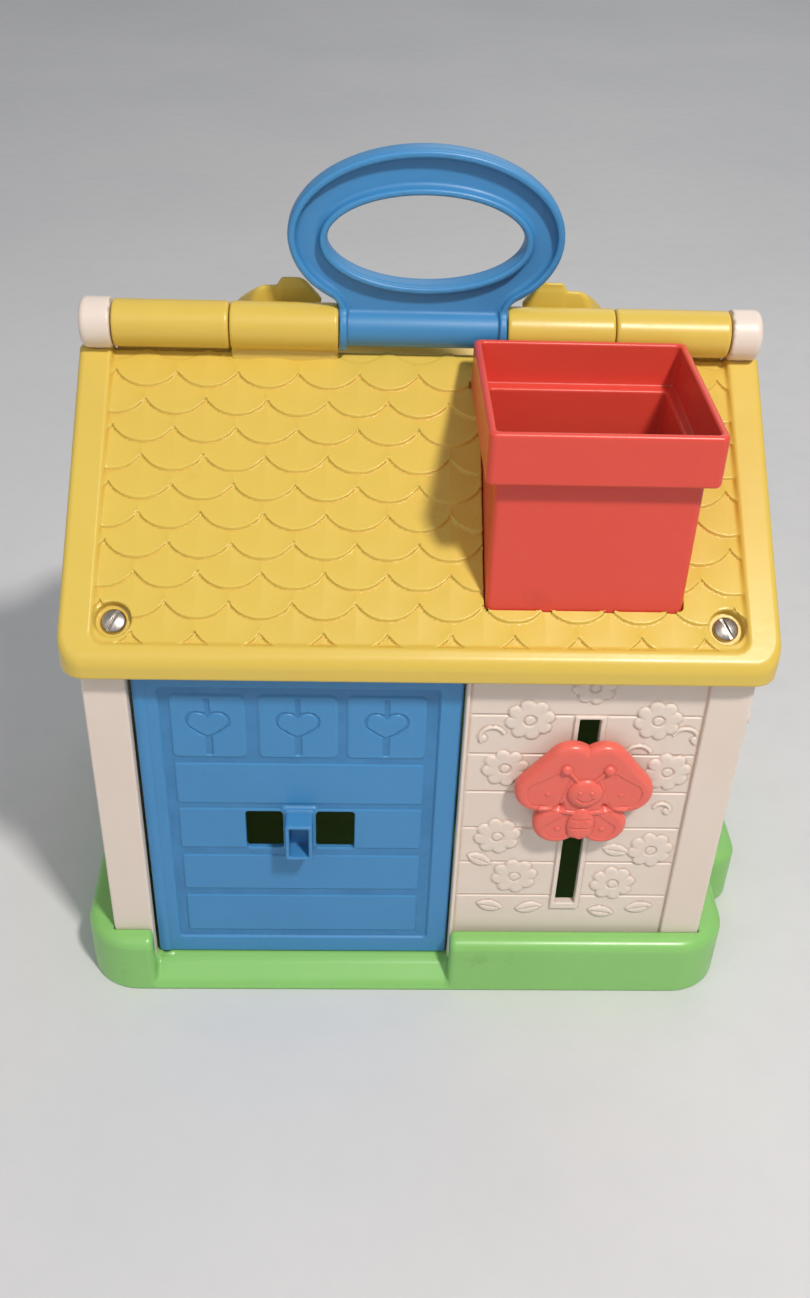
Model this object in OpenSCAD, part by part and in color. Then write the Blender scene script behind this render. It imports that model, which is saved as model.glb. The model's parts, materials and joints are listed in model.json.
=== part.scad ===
// Cottage shape sorter: a toy house with a hinged rear roof, a folding carry handle,
// an open chimney, a garage door, a side door and a sliding butterfly.
// Millimetres. X to the right, Y to the back, Z up. The origin is the centre of the
// house on the surface that it stands on.

/* [House] */
// Width of the roof over its outer rails
roof_w = 236; // [232:1:240]
// Height of the hinge axis that runs along the ridge
ridge_z = 233; // [230:1:236]
// Slope of both roof halves, in degrees
roof_slope = 37.2; // [36:0.2:38]
// Distance from the middle of the house to the eave
eave_y = 92.3; // [91.5:0.1:93]
// Distance between the outer faces of the gable walls
wall_w = 224; // [222:1:224]
// Distance between the outer faces of the front and rear walls
wall_d = 172.8; // [172:0.1:173.4]
// Thickness of the moulded walls
wall_t = 2.4; // [2:0.1:2.6]

/* [Base] */
// Width of the base without its doorstep
base_w = 247; // [244:1:250]
// Depth of the base
base_d = 188; // [186:1:192]
// Height of the base
base_h = 26.2; // [24:0.1:27]
// Height of the floor inside the house
floor_z = 10; // [9:0.5:11]
// How far the side doorstep stands out from the base
step_out = 14; // [10:1:18]

/* [Roof and ridge] */
// Thickness of the moulded roof sheet
roof_t = 3; // [2.5:0.1:3.4]
// Depth of the shingled field below the rails
field_drop = 1.8; // [1.2:0.1:2]
// Radius of the ridge knuckles
knuckle_r = 8; // [7.6:0.1:8.2]
// Radius of the steel hinge rod
rod_r = 2.5; // [2:0.1:3]
// Radius of the round sorter drum on the rear roof
drum_r = 70; // [66:1:70]
// Height of the sorter drum above the rails
drum_h = 19.4; // [17:0.2:20]

/* [Chimney] */
// Width of the chimney rim
rim_w = 72.6; // [70:0.2:74]
// Height of the chimney rim
rim_h = 17.6; // [15:0.2:20]
// Height of the top of the chimney above the table
chimney_top = 233.8; // [232:0.2:235]

/* [Handle] */
// Half width of the handle ring
ring_a = 45.5; // [42:0.5:46]
// Half height of the handle ring
ring_b = 29; // [27:0.5:29]
// Half width of the finger opening
grip_a = 33; // [30:0.5:33]
// Half height of the finger opening
grip_b = 15; // [13:0.5:15]
// Depth of the handle from front to back
handle_t = 10; // [9:0.5:13]

/* [Doors and butterfly] */
// Width of the garage door opening
garage_w = 112.7; // [112:0.1:113]
// Height of the top of the garage door opening
garage_top = 148.5; // [147:0.1:148.6]
// Width of the side door opening
side_w = 61; // [56:1:64]
// Height of the top of the side door opening
side_top = 126; // [118:1:130]
// Height of the middle of the butterfly at rest
butterfly_z = 101; // [96:1:104]

/* [Hidden] */

$fn = 48;
eps = 0.01;
run_gap = 0.05;   // running clearance of a pin in its bore
part_gap = 0.3;   // gap between pieces that move past each other

// The roof halves are laid out along their own slope: x, s down the slope, n out of it.
rail_y = 3.2;                                             // where each half starts
rail_z = ridge_z - knuckle_r - 0.4;
slope_len = (eave_y - rail_y) / cos(roof_slope);
eave_z = rail_z - slope_len * sin(roof_slope);
fascia_h = 7.6;
fascia_t = 3;
rail_w = 11.5;
verge_t = 5;
verge_h = 12;
field_w = roof_w / 2 - rail_w;

wall_x = wall_w / 2;
wall_y = wall_d / 2;
wall_in = wall_x - 2.5;
wall_top = 155;
panel_y = wall_y - 1.6;                                   // outer face of the flower panel

// garage door
garage_x0 = -97.2;
garage_x1 = garage_x0 + garage_w;
garage_pin = [garage_x0 + 3.6, -81.2];
door_face = -83.6;
door_t = 3;
barrel_r = 2.7;
pin_r = 1.5;

// side door
side_pin = [110.6, side_w / 2 - 3];
side_z = base_h + 0.4;

// chimney
chimney_x = 53.3;
rim_back = -9.4;
rim_y = rim_back - rim_w / 2 + 0.7;
stack_w = 65.4;
stack_d = 61.4;
stack_y = -75 + stack_d / 2;
chimney_t = 2.5;

// butterfly
slot_x = 58.6;
slot_w = 7.4;
slot_z0 = 40.5;
slot_z1 = 129.8;

// hinge layout along the ridge
handle_x = 28.5;
inner_x1 = 65.8;
outer_x0 = 66.1;
outer_x1 = 105.6;
ear_x0 = 106;
ear_x1 = 116.5;

// sorter drum, in slope coordinates
drum_s = 34.4;
cradle_w = 47.5;
cradle_s1 = 57;
cradle_rim = 7;
rim_top = drum_h + 2.2;

YELLOW = [0.93, 0.79, 0.33];
RED = [0.84, 0.27, 0.24];
BLUE = [0.27, 0.53, 0.74];
GREEN = [0.47, 0.78, 0.42];
CREAM = [0.86, 0.79, 0.74];
CORAL = [0.88, 0.38, 0.33];
STEEL = [0.72, 0.72, 0.73];

// ---- helpers -------------------------------------------------------------------

// n + 1 points on an arc around c from angle a0 to a1
function arc_points(c, r, a0, a1, n) =
    [for (i = [0:n]) let (a = a0 + (a1 - a0) * i / n) [c[0] + r * cos(a), c[1] + r * sin(a)]];

function ellipse_points(a, b, n) = [for (i = [0:n - 1]) [a * cos(360 * i / n), b * sin(360 * i / n)]];

// rectangle with rounded corners as one outline
module rounded_outline(x0, x1, y0, y1, r) {
    polygon(concat(
        arc_points([x1 - r, y1 - r], r, 0, 90, 8),
        arc_points([x0 + r, y1 - r], r, 90, 180, 8),
        arc_points([x0 + r, y0 + r], r, 180, 270, 8),
        arc_points([x1 - r, y0 + r], r, 270, 360, 8)));
}

module box(x0, x1, y0, y1, z0, z1) {
    translate([x0, y0, z0]) cube([x1 - x0, y1 - y0, z1 - z0]);
}

// a cylinder along X between two planes
module bar_x(x0, x1, y, z, r) {
    translate([x0, y, z]) rotate([0, 90, 0]) cylinder(r = r, h = x1 - x0);
}

// a cylinder along Y between two planes
module bar_y(y0, y1, x, z, r) {
    translate([x, y1, z]) rotate([90, 0, 0]) cylinder(r = r, h = y1 - y0);
}

// a YZ outline extruded along X
module along_x(x0, x1, outline) {
    translate([x0, 0, 0]) rotate([90, 0, 90]) linear_extrude(x1 - x0) polygon(outline);
}

// children drawn in the rear slope's x, s, n coordinates
module on_rear_slope() {
    translate([0, rail_y, rail_z]) rotate([-roof_slope, 0, 0]) children();
}

module on_front_slope() {
    mirror([0, 1, 0]) on_rear_slope() children();
}

module both_sides() {
    children();
    mirror([1, 0, 0]) children();
}

// height of a line that runs below the roof rails by d, at distance y from the ridge
function below_roof(y, d) = rail_z - (abs(y) - rail_y) * tan(roof_slope) - d;

// ---- base ----------------------------------------------------------------------

rib_pitch = 27.2;
rib_t = 1.8;
floor_t = 2.4;
corner_r = 20;
post_x = 105;
post_y = 76;

// half width and corner radius of the doorstep
step_y = 47;
step_r = 12;

module base_ring() {
    linear_extrude(base_h) {
        rounded_outline(-base_w / 2, base_w / 2, -base_d / 2, base_d / 2, corner_r);
        rounded_outline(0, base_w / 2 + step_out, -step_y, step_y, step_r);
    }
}

// the recess that the walls stand in, open at the front for the garage door
module base_recess() {
    box(-wall_x - 0.1, wall_x + 0.1, -wall_y - 0.1, wall_y + 0.1, floor_z, base_h + 1);
    garage_edge = base_d / 2 + 1;
    along_x(garage_x0 + 0.3, garage_x1 + 0.3, [
        [-wall_y + 1, floor_z], [-wall_y + 1, base_h + 1], [-garage_edge, base_h + 1],
        [-garage_edge, 2.2], [-base_d / 2, 2.5], [-wall_y + 1.4, floor_z]]);
}

module base_cells() {
    for (i = [-4:3], j = [-3:2])
        box(i * rib_pitch + rib_t / 2, (i + 1) * rib_pitch - rib_t / 2,
            j * rib_pitch + rib_t / 2, (j + 1) * rib_pitch - rib_t / 2, -1, floor_z - floor_t);
    // hollow under the raised apron, along the two sides and the back
    for (side = [-1, 1], j = [-3:2])
        box(side * 117.8 - 3.2, side * 117.8 + 3.2,
            j * rib_pitch + rib_t / 2, (j + 1) * rib_pitch - rib_t / 2, -1, base_h - floor_t);
    // hollow under the doorstep
    for (j = [-2:1])
        box(base_w / 2 + 1, base_w / 2 + step_out - 2.4,
            j * 20 + rib_t / 2 + (j == -2 ? 6 : 0), (j + 1) * 20 - rib_t / 2 - (j == 1 ? 6 : 0),
            -1, base_h - floor_t);
}

module base() {
    color(GREEN) difference() {
        union() {
            difference() {
                base_ring();
                base_recess();
                base_cells();
            }
            for (x = [-post_x, post_x], y = [-post_y, post_y])
                translate([x, y, 0]) cylinder(r = 6, h = floor_z);
            translate([garage_pin[0], garage_pin[1], 0]) cylinder(r = 4, h = floor_z);
        }
        for (x = [-post_x, post_x], y = [-post_y, post_y]) translate([x, y, -1]) {
            cylinder(r = 4.2, h = 4);
            cylinder(r = 1.9, h = floor_z + 2);
        }
        translate([garage_pin[0], garage_pin[1], 3]) cylinder(r = pin_r + run_gap, h = floor_z);
    }
}

// four screws driven up through the base into the gable posts
module base_screws() {
    color(STEEL) for (x = [-post_x, post_x], y = [-post_y, post_y]) translate([x, y, 0]) {
        difference() {
            translate([0, 0, 0.8]) cylinder(r = 3.6, h = 2.2);
            box(-4, 4, -0.5, 0.5, 0.7, 1.6);
        }
        translate([0, 0, 3 - eps]) cylinder(r = 1.7, h = 21);
    }
}

// ---- walls ---------------------------------------------------------------------

module front_wall() {
    color(CREAM) difference() {
        union() {
            box(-wall_x, wall_x, -panel_y, -panel_y + wall_t, floor_z, wall_top);
            for (x = [[-wall_x, garage_x0], [garage_x1, garage_x1 + 1.6], [97.2, wall_x]])
                box(x[0], x[1], -wall_y, -panel_y + wall_t, floor_z, wall_top);
            box(-wall_x, wall_x, -wall_y, -panel_y + wall_t, garage_top, wall_top);
            // raised surround of the slot
            box(slot_x - 5.4, slot_x + 5.4, -panel_y - 0.9, -panel_y + 1, slot_z0 - 3, slot_z1 + 1.2);
            // lug that takes the top of the garage door pin
            box(garage_x0, garage_x0 + 8.2, -wall_y, -77.5, garage_top, wall_top);
        }
        box(garage_x0, garage_x1, -wall_y - 1, -80, floor_z - 1, garage_top);
        box(slot_x - slot_w / 2, slot_x + slot_w / 2, -wall_y - 1, -80, slot_z0, slot_z1);
        translate([garage_pin[0], garage_pin[1], garage_top - 1])
            cylinder(r = pin_r + run_gap, h = 6.5);
    }
}

module rear_wall() {
    color(CREAM) difference() {
        box(-wall_x, wall_x, wall_y - wall_t, wall_y, floor_z, wall_top);
        // shallow plank grooves
        for (z = [43.9:17.4:140])
            box(-wall_x + 12, wall_x - 12, wall_y - 0.5, wall_y + 1, z - 0.4, z + 0.4);
    }
}

gable_gap = 6.6;
gable_outline = [
    [-panel_y + wall_t + 0.1, floor_z], [wall_y - wall_t - 0.1, floor_z],
    [wall_y - wall_t - 0.1, below_roof(wall_y - wall_t - 0.1, gable_gap)],
    [2.6, below_roof(2.6, gable_gap)], [2.6, ridge_z], [-2.6, ridge_z],
    [-2.6, below_roof(2.6, gable_gap)],
    [-panel_y + wall_t + 0.1, below_roof(panel_y - wall_t - 0.1, gable_gap)]];

// one gable, drawn on the +X side
module gable() {
    difference() {
        union() {
            along_x(wall_in, wall_x, gable_outline);
            // rounded ear that carries the end of the hinge rod
            bar_x(ear_x0, ear_x1, 0, ridge_z, 8.6);
            // screw posts up from the floor
            for (y = [-post_y, post_y])
                translate([post_x, y, floor_z]) cylinder(r = 5, h = 50);
            // block that takes the roof screw
            along_x(screw_x - 2.7, wall_in + eps, [
                [-82.2, 120], [-66, 132], [-66, below_roof(66, 10.4)], [-82.2, below_roof(82.2, 10.4)]]);
        }
        bar_x(ear_x0 - 1, ear_x1 - 1.5, 0, ridge_z, rod_r + run_gap);
        for (y = [-post_y, post_y])
            translate([post_x, y, floor_z - 1]) cylinder(r = 1.75, h = 16.2);
        on_front_slope() translate([screw_x, screw_s, -24]) cylinder(r = 1.75, h = 20);
    }
}

module left_gable() {
    color(CREAM) mirror([1, 0, 0]) gable();
}

module right_gable() {
    color(CREAM) difference() {
        union() {
            gable();
            // lugs above and below the doorway that hold the side door's pin
            for (z = [[side_z - 6, side_z], [side_top, side_top + 6]])
                box(107.4, wall_x, side_pin[1] - 4, side_pin[1] + 4, z[0], z[1]);
            // small round stud near the front corner
            bar_x(wall_x - 1, wall_x + 2.4, -79.5, 128, 3);
        }
        box(wall_in - 3, wall_x + 1, -side_w / 2, side_w / 2, side_z, side_top);
        translate([side_pin[0], side_pin[1], side_z - 5])
            cylinder(r = pin_r - 0.3 + run_gap, h = side_top - side_z + 10);
    }
}

// ---- roof ----------------------------------------------------------------------

screw_x = 100.5;
screw_s = 97;

// sheet, rails, verges and eave of one half, with s running down the slope from s0
module roof_sheet(s0) {
    translate([-roof_w / 2, s0, -field_drop - roof_t])
        cube([roof_w, slope_len - 1 - s0, roof_t]);
    both_sides() {
        translate([field_w, s0, -field_drop - roof_t])
            cube([rail_w, slope_len - 2 - s0, field_drop + roof_t]);
        translate([roof_w / 2 - verge_t, s0 + 3, -verge_h])
            cube([verge_t, slope_len - 6 - s0, verge_h]);
    }
    translate([-roof_w / 2, slope_len - 6.5, -field_drop - roof_t])
        cube([roof_w, 5.5, field_drop + roof_t]);
}

eave_outline = [
    [eave_y - fascia_t, eave_z - fascia_h], [eave_y, eave_z - fascia_h], [eave_y, eave_z - 1.2],
    [eave_y - 1, eave_z + 0.3], [eave_y - 5, below_roof(eave_y - 5, 0)],
    [eave_y - 5, below_roof(eave_y - 5, 5)], [eave_y - fascia_t, below_roof(eave_y - fascia_t, 6)]];

// a knuckle on the ridge with the shoulder that joins it to the rear half's sheet
module knuckle(x0, x1) {
    bar_x(x0, x1, 0, ridge_z, knuckle_r);
    along_x(x0, x1, [
        [knuckle_r - 0.1, ridge_z], [knuckle_r - 0.1, rail_z - 5], [3.2, rail_z - 4.4],
        [0.8, ridge_z - 6]]);
}

// room below the knuckles for the other half, and round the tabs that carry the gable ears
module ridge_clearance() {
    box(-roof_w, roof_w, -20, 0.4, 190, ridge_z - knuckle_r);
    both_sides() box(wall_in - 0.2, wall_x + 0.2, -20, 3, 190, ridge_z);
}

module front_roof() {
    color(YELLOW) difference() {
        union() {
            on_front_slope() roof_sheet(0);
            mirror([0, 1, 0]) along_x(-roof_w / 2, roof_w / 2, eave_outline);
            mirror([0, 1, 0]) both_sides() knuckle(handle_x + part_gap, inner_x1);
            // cups under the two screw recesses
            both_sides() on_front_slope()
                translate([screw_x, screw_s, -7.6]) cylinder(r = 8, h = 7.6 - field_drop);
        }
        bar_x(-roof_w, roof_w, 0, ridge_z, rod_r + run_gap);
        // clear the lid's knuckles, the handle and the ears
        for (x = [[-200, -outer_x0], [-handle_x - part_gap, handle_x + part_gap], [outer_x0, 200]])
            bar_x(x[0] + 0.15, x[1] - 0.15, 0, ridge_z, knuckle_r + 0.6);
        mirror([0, 1, 0]) ridge_clearance();
        // the chimney's opening, and the notch for the back of its rim
        box(chimney_x - stack_w / 2 - part_gap, chimney_x + stack_w / 2 + part_gap,
            stack_y - stack_d / 2 - part_gap, stack_y + stack_d / 2 + part_gap, 120, 260);
        box(chimney_x - rim_w / 2 - part_gap, chimney_x + rim_w / 2 + part_gap,
            stack_y, rim_back + part_gap, chimney_top - rim_h - part_gap, 260);
        both_sides() on_front_slope() translate([screw_x, screw_s, -20]) {
            cylinder(r = 2.1, h = 40);
            translate([0, 0, 15]) cylinder(r = 6, h = 20);
        }
    }
}

// the two slotted screws that hold the front roof down
module roof_screws() {
    color(STEEL) both_sides() on_front_slope() translate([screw_x, screw_s, -5 + eps]) {
        difference() {
            cylinder(r = 4.25, h = 2.4);
            rotate([0, 0, 25]) box(-5, 5, -0.6, 0.6, 1.3, 3);
        }
        translate([0, 0, -15]) cylinder(r = 1.7, h = 15 + eps);
    }
}

hole_s = 29;
round_hole_r = 20;
square_hole = 36;
triangle_s = 78;
triangle_r = 22;

module rear_roof() {
    color(YELLOW) difference() {
        union() {
            on_rear_slope() roof_sheet(0.5);
            along_x(-roof_w / 2, roof_w / 2, eave_outline);
            both_sides() knuckle(outer_x0, outer_x1);
        }
        bar_x(-roof_w, roof_w, 0, ridge_z, rod_r + run_gap);
        // clear the front roof's knuckles and the handle
        bar_x(-inner_x1 - 0.15, inner_x1 + 0.15, 0, ridge_z, knuckle_r + 0.6);
        both_sides() bar_x(outer_x1 + 0.15, 200, 0, ridge_z, 9.2);
        ridge_clearance();
        // shape holes in the floor of the handle's cradle, and the window below the drum
        on_rear_slope() translate([0, 0, -20]) {
            translate([-23.5, hole_s, 0]) cylinder(r = round_hole_r, h = 40);
            translate([23.5 - square_hole / 2, hole_s - square_hole / 2, 0])
                cube([square_hole, square_hole, 40]);
            intersection() {
                translate([-27, 62, 0]) cube([54, 42, 40]);
                translate([0, drum_s, 0]) cylinder(r = drum_r - drum_wall - 0.5, h = 40, $fn = 96);
            }
            for (p = drum_bosses) translate([p[0], p[1], 0]) cylinder(r = 1.9, h = 40);
        }
    }
}

// ---- sorter drum on the rear roof ------------------------------------------------

drum_bosses = [[-58, 22], [58, 22], [-42, 78], [42, 78]];
drum_wall = 3;
drum_base = 0.1 - field_drop;

// the drum's round outline, cut off beside the ridge
module drum_solid(r, n0, n1) {
    intersection() {
        on_rear_slope() translate([0, drum_s, n0]) cylinder(r = r, h = n1 - n0, $fn = 96);
        box(-100, 100, 9, 200, 100, 300);
    }
}

module sorter_drum() {
    color(YELLOW) difference() {
        union() {
            difference() {
                drum_solid(drum_r, drum_base, drum_h);
                intersection() {
                    drum_solid(drum_r - drum_wall, -5, drum_h - drum_wall);
                    box(-100, 100, 9 + drum_wall, 200, 100, 300);
                }
            }
            // walls and raised rim of the cradle that the handle folds into
            intersection() {
                on_rear_slope() translate([-cradle_w - cradle_rim, -20, drum_base])
                    cube([2 * (cradle_w + cradle_rim), 20 + cradle_s1 + cradle_rim,
                        rim_top - drum_base]);
                drum_solid(drum_r, drum_base, rim_top);
            }
            on_rear_slope() for (p = drum_bosses)
                translate([p[0], p[1], drum_base]) cylinder(r = 4.5, h = drum_h - 1);
        }
        // cradle
        intersection() {
            on_rear_slope() translate([-cradle_w, -20, -5]) cube([2 * cradle_w, 20 + cradle_s1, 60]);
            box(-100, 100, 12, 200, 100, 300);
        }
        // way in through the cradle's ridge-side wall: flared, and wider where the ring lies
        translate([0, 20, 0]) rotate([90, 0, 0]) linear_extrude(15) polygon([
            [-40.5, rail_z - 8], [40.5, rail_z - 8], [40.5, rail_z + 1.5], [37, rail_z + 5],
            [42, rail_z + 30], [-42, rail_z + 30], [-37, rail_z + 5], [-40.5, rail_z + 1.5]]);
        on_rear_slope() {
            translate([0, triangle_s, -5]) linear_extrude(60)
                polygon([for (a = [90, 210, 330]) triangle_r * [cos(a), sin(a)]]);
            for (p = drum_bosses) translate([p[0], p[1], -5]) cylinder(r = 1.65, h = 16);
        }
        // hollow under the lower part of the drum
        on_rear_slope() translate([-30, cradle_s1 + 3, -5]) cube([60, 36.4, drum_h - drum_wall + 5]);
    }
}

// four screws up from inside the lid into the drum
module drum_screws() {
    color(STEEL) on_rear_slope() for (p = drum_bosses)
        translate([p[0], p[1], -field_drop - roof_t - 1.8]) {
            cylinder(r = 3.2, h = 1.8 - eps);
            cylinder(r = 1.6, h = 14);
        }
}

// ---- chimney -------------------------------------------------------------------

frame_drop = 12;   // how far the stack reaches below the roof sheet

module chimney() {
    color(RED) difference() {
        union() {
            box(chimney_x - rim_w / 2, chimney_x + rim_w / 2, rim_y - rim_w / 2 + 0.7,
                rim_y + rim_w / 2 - 0.7, chimney_top - rim_h, chimney_top);
            difference() {
                box(chimney_x - stack_w / 2, chimney_x + stack_w / 2, stack_y - stack_d / 2,
                    stack_y + stack_d / 2, 120, chimney_top - rim_h + 1);
                on_front_slope() translate([-200, -50, -100 - frame_drop])
                    cube([400, 200, 100]);
            }
        }
        box(chimney_x - rim_w / 2 + chimney_t, chimney_x + rim_w / 2 - chimney_t,
            rim_y - rim_w / 2 + 0.7 + chimney_t, rim_y + rim_w / 2 - 0.7 - chimney_t,
            chimney_top - rim_h + chimney_t, chimney_top + 1);
        box(chimney_x - stack_w / 2 + chimney_t, chimney_x + stack_w / 2 - chimney_t,
            stack_y - stack_d / 2 + chimney_t, stack_y + stack_d / 2 - chimney_t,
            100, chimney_top + 1);
        for (p = frame_holes)
            translate([p[0], 0, 0]) on_front_slope() translate([0, p[1], -9.4])
                rotate([0, 90, 0]) cylinder(r = 1.4, h = 8, center = true);
    }
}

// slope positions of the screws that pin the clamp frame to the stack, left and right
frame_holes = [
    [chimney_x - stack_w / 2, 50], [chimney_x + stack_w / 2, 50]];

// frame under the roof sheet that clamps the chimney in its opening
module chimney_frame() {
    color(CREAM) difference() {
        on_front_slope() translate([chimney_x - stack_w / 2 - 7, 8, -field_drop - roof_t - 7])
            cube([stack_w + 14, 86, 6.9]);
        box(chimney_x - stack_w / 2 - 0.1, chimney_x + stack_w / 2 + 0.1,
            stack_y - stack_d / 2 - 0.1, stack_y + stack_d / 2 + 0.1, 100, 260);
        for (p = frame_holes)
            translate([p[0], 0, 0]) on_front_slope() translate([0, p[1], -9.4])
                rotate([0, 90, 0]) cylinder(r = 1.4, h = 20, center = true);
    }
}

module chimney_screws() {
    color(STEEL) for (p = frame_holes, out = [p[0] < chimney_x ? -1 : 1])
        translate([p[0], 0, 0]) on_front_slope() translate([0, p[1], -9.4]) {
            rotate([0, 90 * out, 0]) translate([0, 0, -2.3]) cylinder(r = 1.35, h = 9.3);
            rotate([0, 90 * out, 0]) translate([0, 0, 7]) cylinder(r = 2.6, h = 1.8);
        }
}

// ---- ridge hardware ------------------------------------------------------------

module hinge_rod() {
    color(STEEL) bar_x(-ear_x1 + 2, ear_x1 - 2, 0, ridge_z, rod_r);
}

ring_z = ridge_z + 32.5;
grip_z = ridge_z + 31.5;
rim_outer = 2.6;
rim_inner = 2.2;
web_t = 3;
neck_t = 8;

module flat_ring(a0, b0, z0, a1, b1, z1, t) {
    translate([0, t / 2, 0]) rotate([90, 0, 0]) linear_extrude(t) difference() {
        translate([0, z0]) polygon(ellipse_points(a0, b0, 72));
        translate([0, z1]) polygon(ellipse_points(a1, b1, 72));
    }
}

module carry_handle() {
    color(BLUE) difference() {
        union() {
            // outer rim, inner rim and the thin web between them
            flat_ring(ring_a, ring_b, ring_z, ring_a - rim_outer, ring_b - rim_outer, ring_z, handle_t);
            flat_ring(grip_a + rim_inner, grip_b + rim_inner, grip_z, grip_a, grip_b, grip_z, handle_t);
            flat_ring(ring_a - 0.5, ring_b - 0.5, ring_z, grip_a + 0.5, grip_b + 0.5, grip_z, web_t);
            difference() {
                union() {
                    // neck: a thin web between two edge ribs
                    box(-handle_x + 1, handle_x - 1, -web_t / 2, web_t / 2, ridge_z, ridge_z + 18);
                    for (x = [-handle_x, handle_x - 3])
                        box(x, x + 3, -neck_t / 2, neck_t / 2, ridge_z, ridge_z + 13);
                }
                translate([0, 20, grip_z]) rotate([90, 0, 0]) linear_extrude(40)
                    polygon(ellipse_points(grip_a + 0.5, grip_b + 0.5, 72));
            }
            bar_x(-handle_x, handle_x, 0, ridge_z, 6.4);
            for (x = [-handle_x, handle_x - 3]) bar_x(x, x + 3, 0, ridge_z, knuckle_r);
        }
        bar_x(-60, 60, 0, ridge_z, rod_r + run_gap);
    }
}

// ---- doors ---------------------------------------------------------------------

garage_z0 = floor_z + 0.6;
garage_z1 = garage_top - 0.8;
windows = [[-60.4, -46.9], [-35.2, -21.2]];
window_z = [65.8, 84];
// sunk panel of the garage door
sunk_x = [-87.8, 7.2];
sunk_z = [18.6, 140];
knob_x = -41;

// a box-shaped pull, open at the front, that grows out of a face at y = 0
module box_pull(w, h, out) {
    difference() {
        box(-w / 2, w / 2, -out, 0.5, -h / 2, h / 2);
        box(-w / 2 + 1.4, w / 2 - 1.4, -out - 1, -1.2, -h / 2 + 1.4, h / 2 - 1.4);
    }
}

module garage_door() {
    color(BLUE) difference() {
        union() {
            box(garage_x0 + 1, garage_x1 - 0.6, door_face, door_face + door_t, garage_z0, garage_z1);
            translate([garage_pin[0], garage_pin[1], garage_z0])
                cylinder(r = barrel_r, h = garage_z1 - garage_z0);
            translate([knob_x, door_face, 76.6]) box_pull(9.7, 16.4, 8.4);
        }
        // sunk panel, left proud under the pull
        difference() {
            box(sunk_x[0], sunk_x[1], door_face - 1, door_face + 0.8, sunk_z[0], sunk_z[1]);
            box(knob_x - 4.8, knob_x + 4.8, door_face - 2, door_face + 2, 68.5, 84.7);
        }
        for (w = windows) box(w[0], w[1], door_face - 1, door_face + 4, window_z[0], window_z[1]);
        translate([garage_pin[0], garage_pin[1], 0]) cylinder(r = pin_r + run_gap, h = 200);
    }
}

module garage_door_pin() {
    color(STEEL) translate([garage_pin[0], garage_pin[1], 3.2]) cylinder(r = pin_r, h = garage_top + 1.6);
}

module side_door() {
    z0 = side_z + 0.6;
    z1 = side_top - 0.6;
    color(BLUE) difference() {
        union() {
            box(wall_in + 0.1, wall_x, -side_w / 2 + 0.6, side_pin[1], z0, z1);
            translate([side_pin[0], side_pin[1], z0]) cylinder(r = 2.4, h = z1 - z0);
            translate([wall_x, -20, 76]) rotate([0, 0, 90]) box_pull(9.7, 16.4, 6);
        }
        difference() {
            box(wall_x - 0.8, wall_x + 1, -side_w / 2 + 7, side_w / 2 - 11, z0 + 7, z1 - 7);
            box(wall_x - 2, wall_x + 2, -24.8, -15.2, 68, 84);
        }
        translate([side_pin[0], side_pin[1], 0]) cylinder(r = pin_r - 0.3 + run_gap, h = 200);
    }
}

module side_door_pin() {
    color(STEEL) translate([side_pin[0], side_pin[1], side_z - 4.8])
        cylinder(r = pin_r - 0.3, h = side_top - side_z + 9.6);
}

// ---- butterfly -----------------------------------------------------------------

wing_back = -87.6;
wing_front = -92.8;

module butterfly() {
    color(CORAL) translate([slot_x, 0, butterfly_z]) difference() {
        union() {
            for (side = [-1, 1]) {
                bar_y(wing_front, wing_back, side * 9, 7.6, 15.4);
                bar_y(wing_front, wing_back, side * 7.6, -14, 9.6);
            }
            box(-3.4, 3.4, wing_front - 1, wing_back, -20.5, 19);
            // post through the slot
            box(-slot_w / 2 + 0.35, slot_w / 2 - 0.35, wing_back - 1, -82.1, -6, 6);
        }
        bar_y(-91, -80, 0, 0, 1.45);
    }
}

// keeper plate behind the panel
module butterfly_slider() {
    color(CREAM) translate([slot_x, 0, butterfly_z]) difference() {
        box(-8, 8, -82.1, -79.3, -10, 10);
        bar_y(-90, -70, 0, 0, 1.6);
    }
}

module butterfly_screw() {
    color(STEEL) translate([slot_x, 0, butterfly_z]) {
        bar_y(-79.3, -77.3, 0, 0, 3);
        bar_y(-90.6, -79.2, 0, 0, 1.4);
    }
}

base();
base_screws();
front_wall();
rear_wall();
left_gable();
right_gable();
front_roof();
roof_screws();
rear_roof();
sorter_drum();
drum_screws();
chimney();
chimney_frame();
chimney_screws();
hinge_rod();
carry_handle();
garage_door();
garage_door_pin();
side_door();
side_door_pin();
butterfly();
butterfly_slider();
butterfly_screw();
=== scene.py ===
"""Looks of the cottage shape sorter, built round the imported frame.

Every moulded plastic piece is described by a signed distance field in millimetres, with
rounded edges, fillets and reliefs, and meshed where the field is zero.
"""
import json
import math

import bpy
import numpy as np
from mathutils import Matrix, Vector


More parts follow.
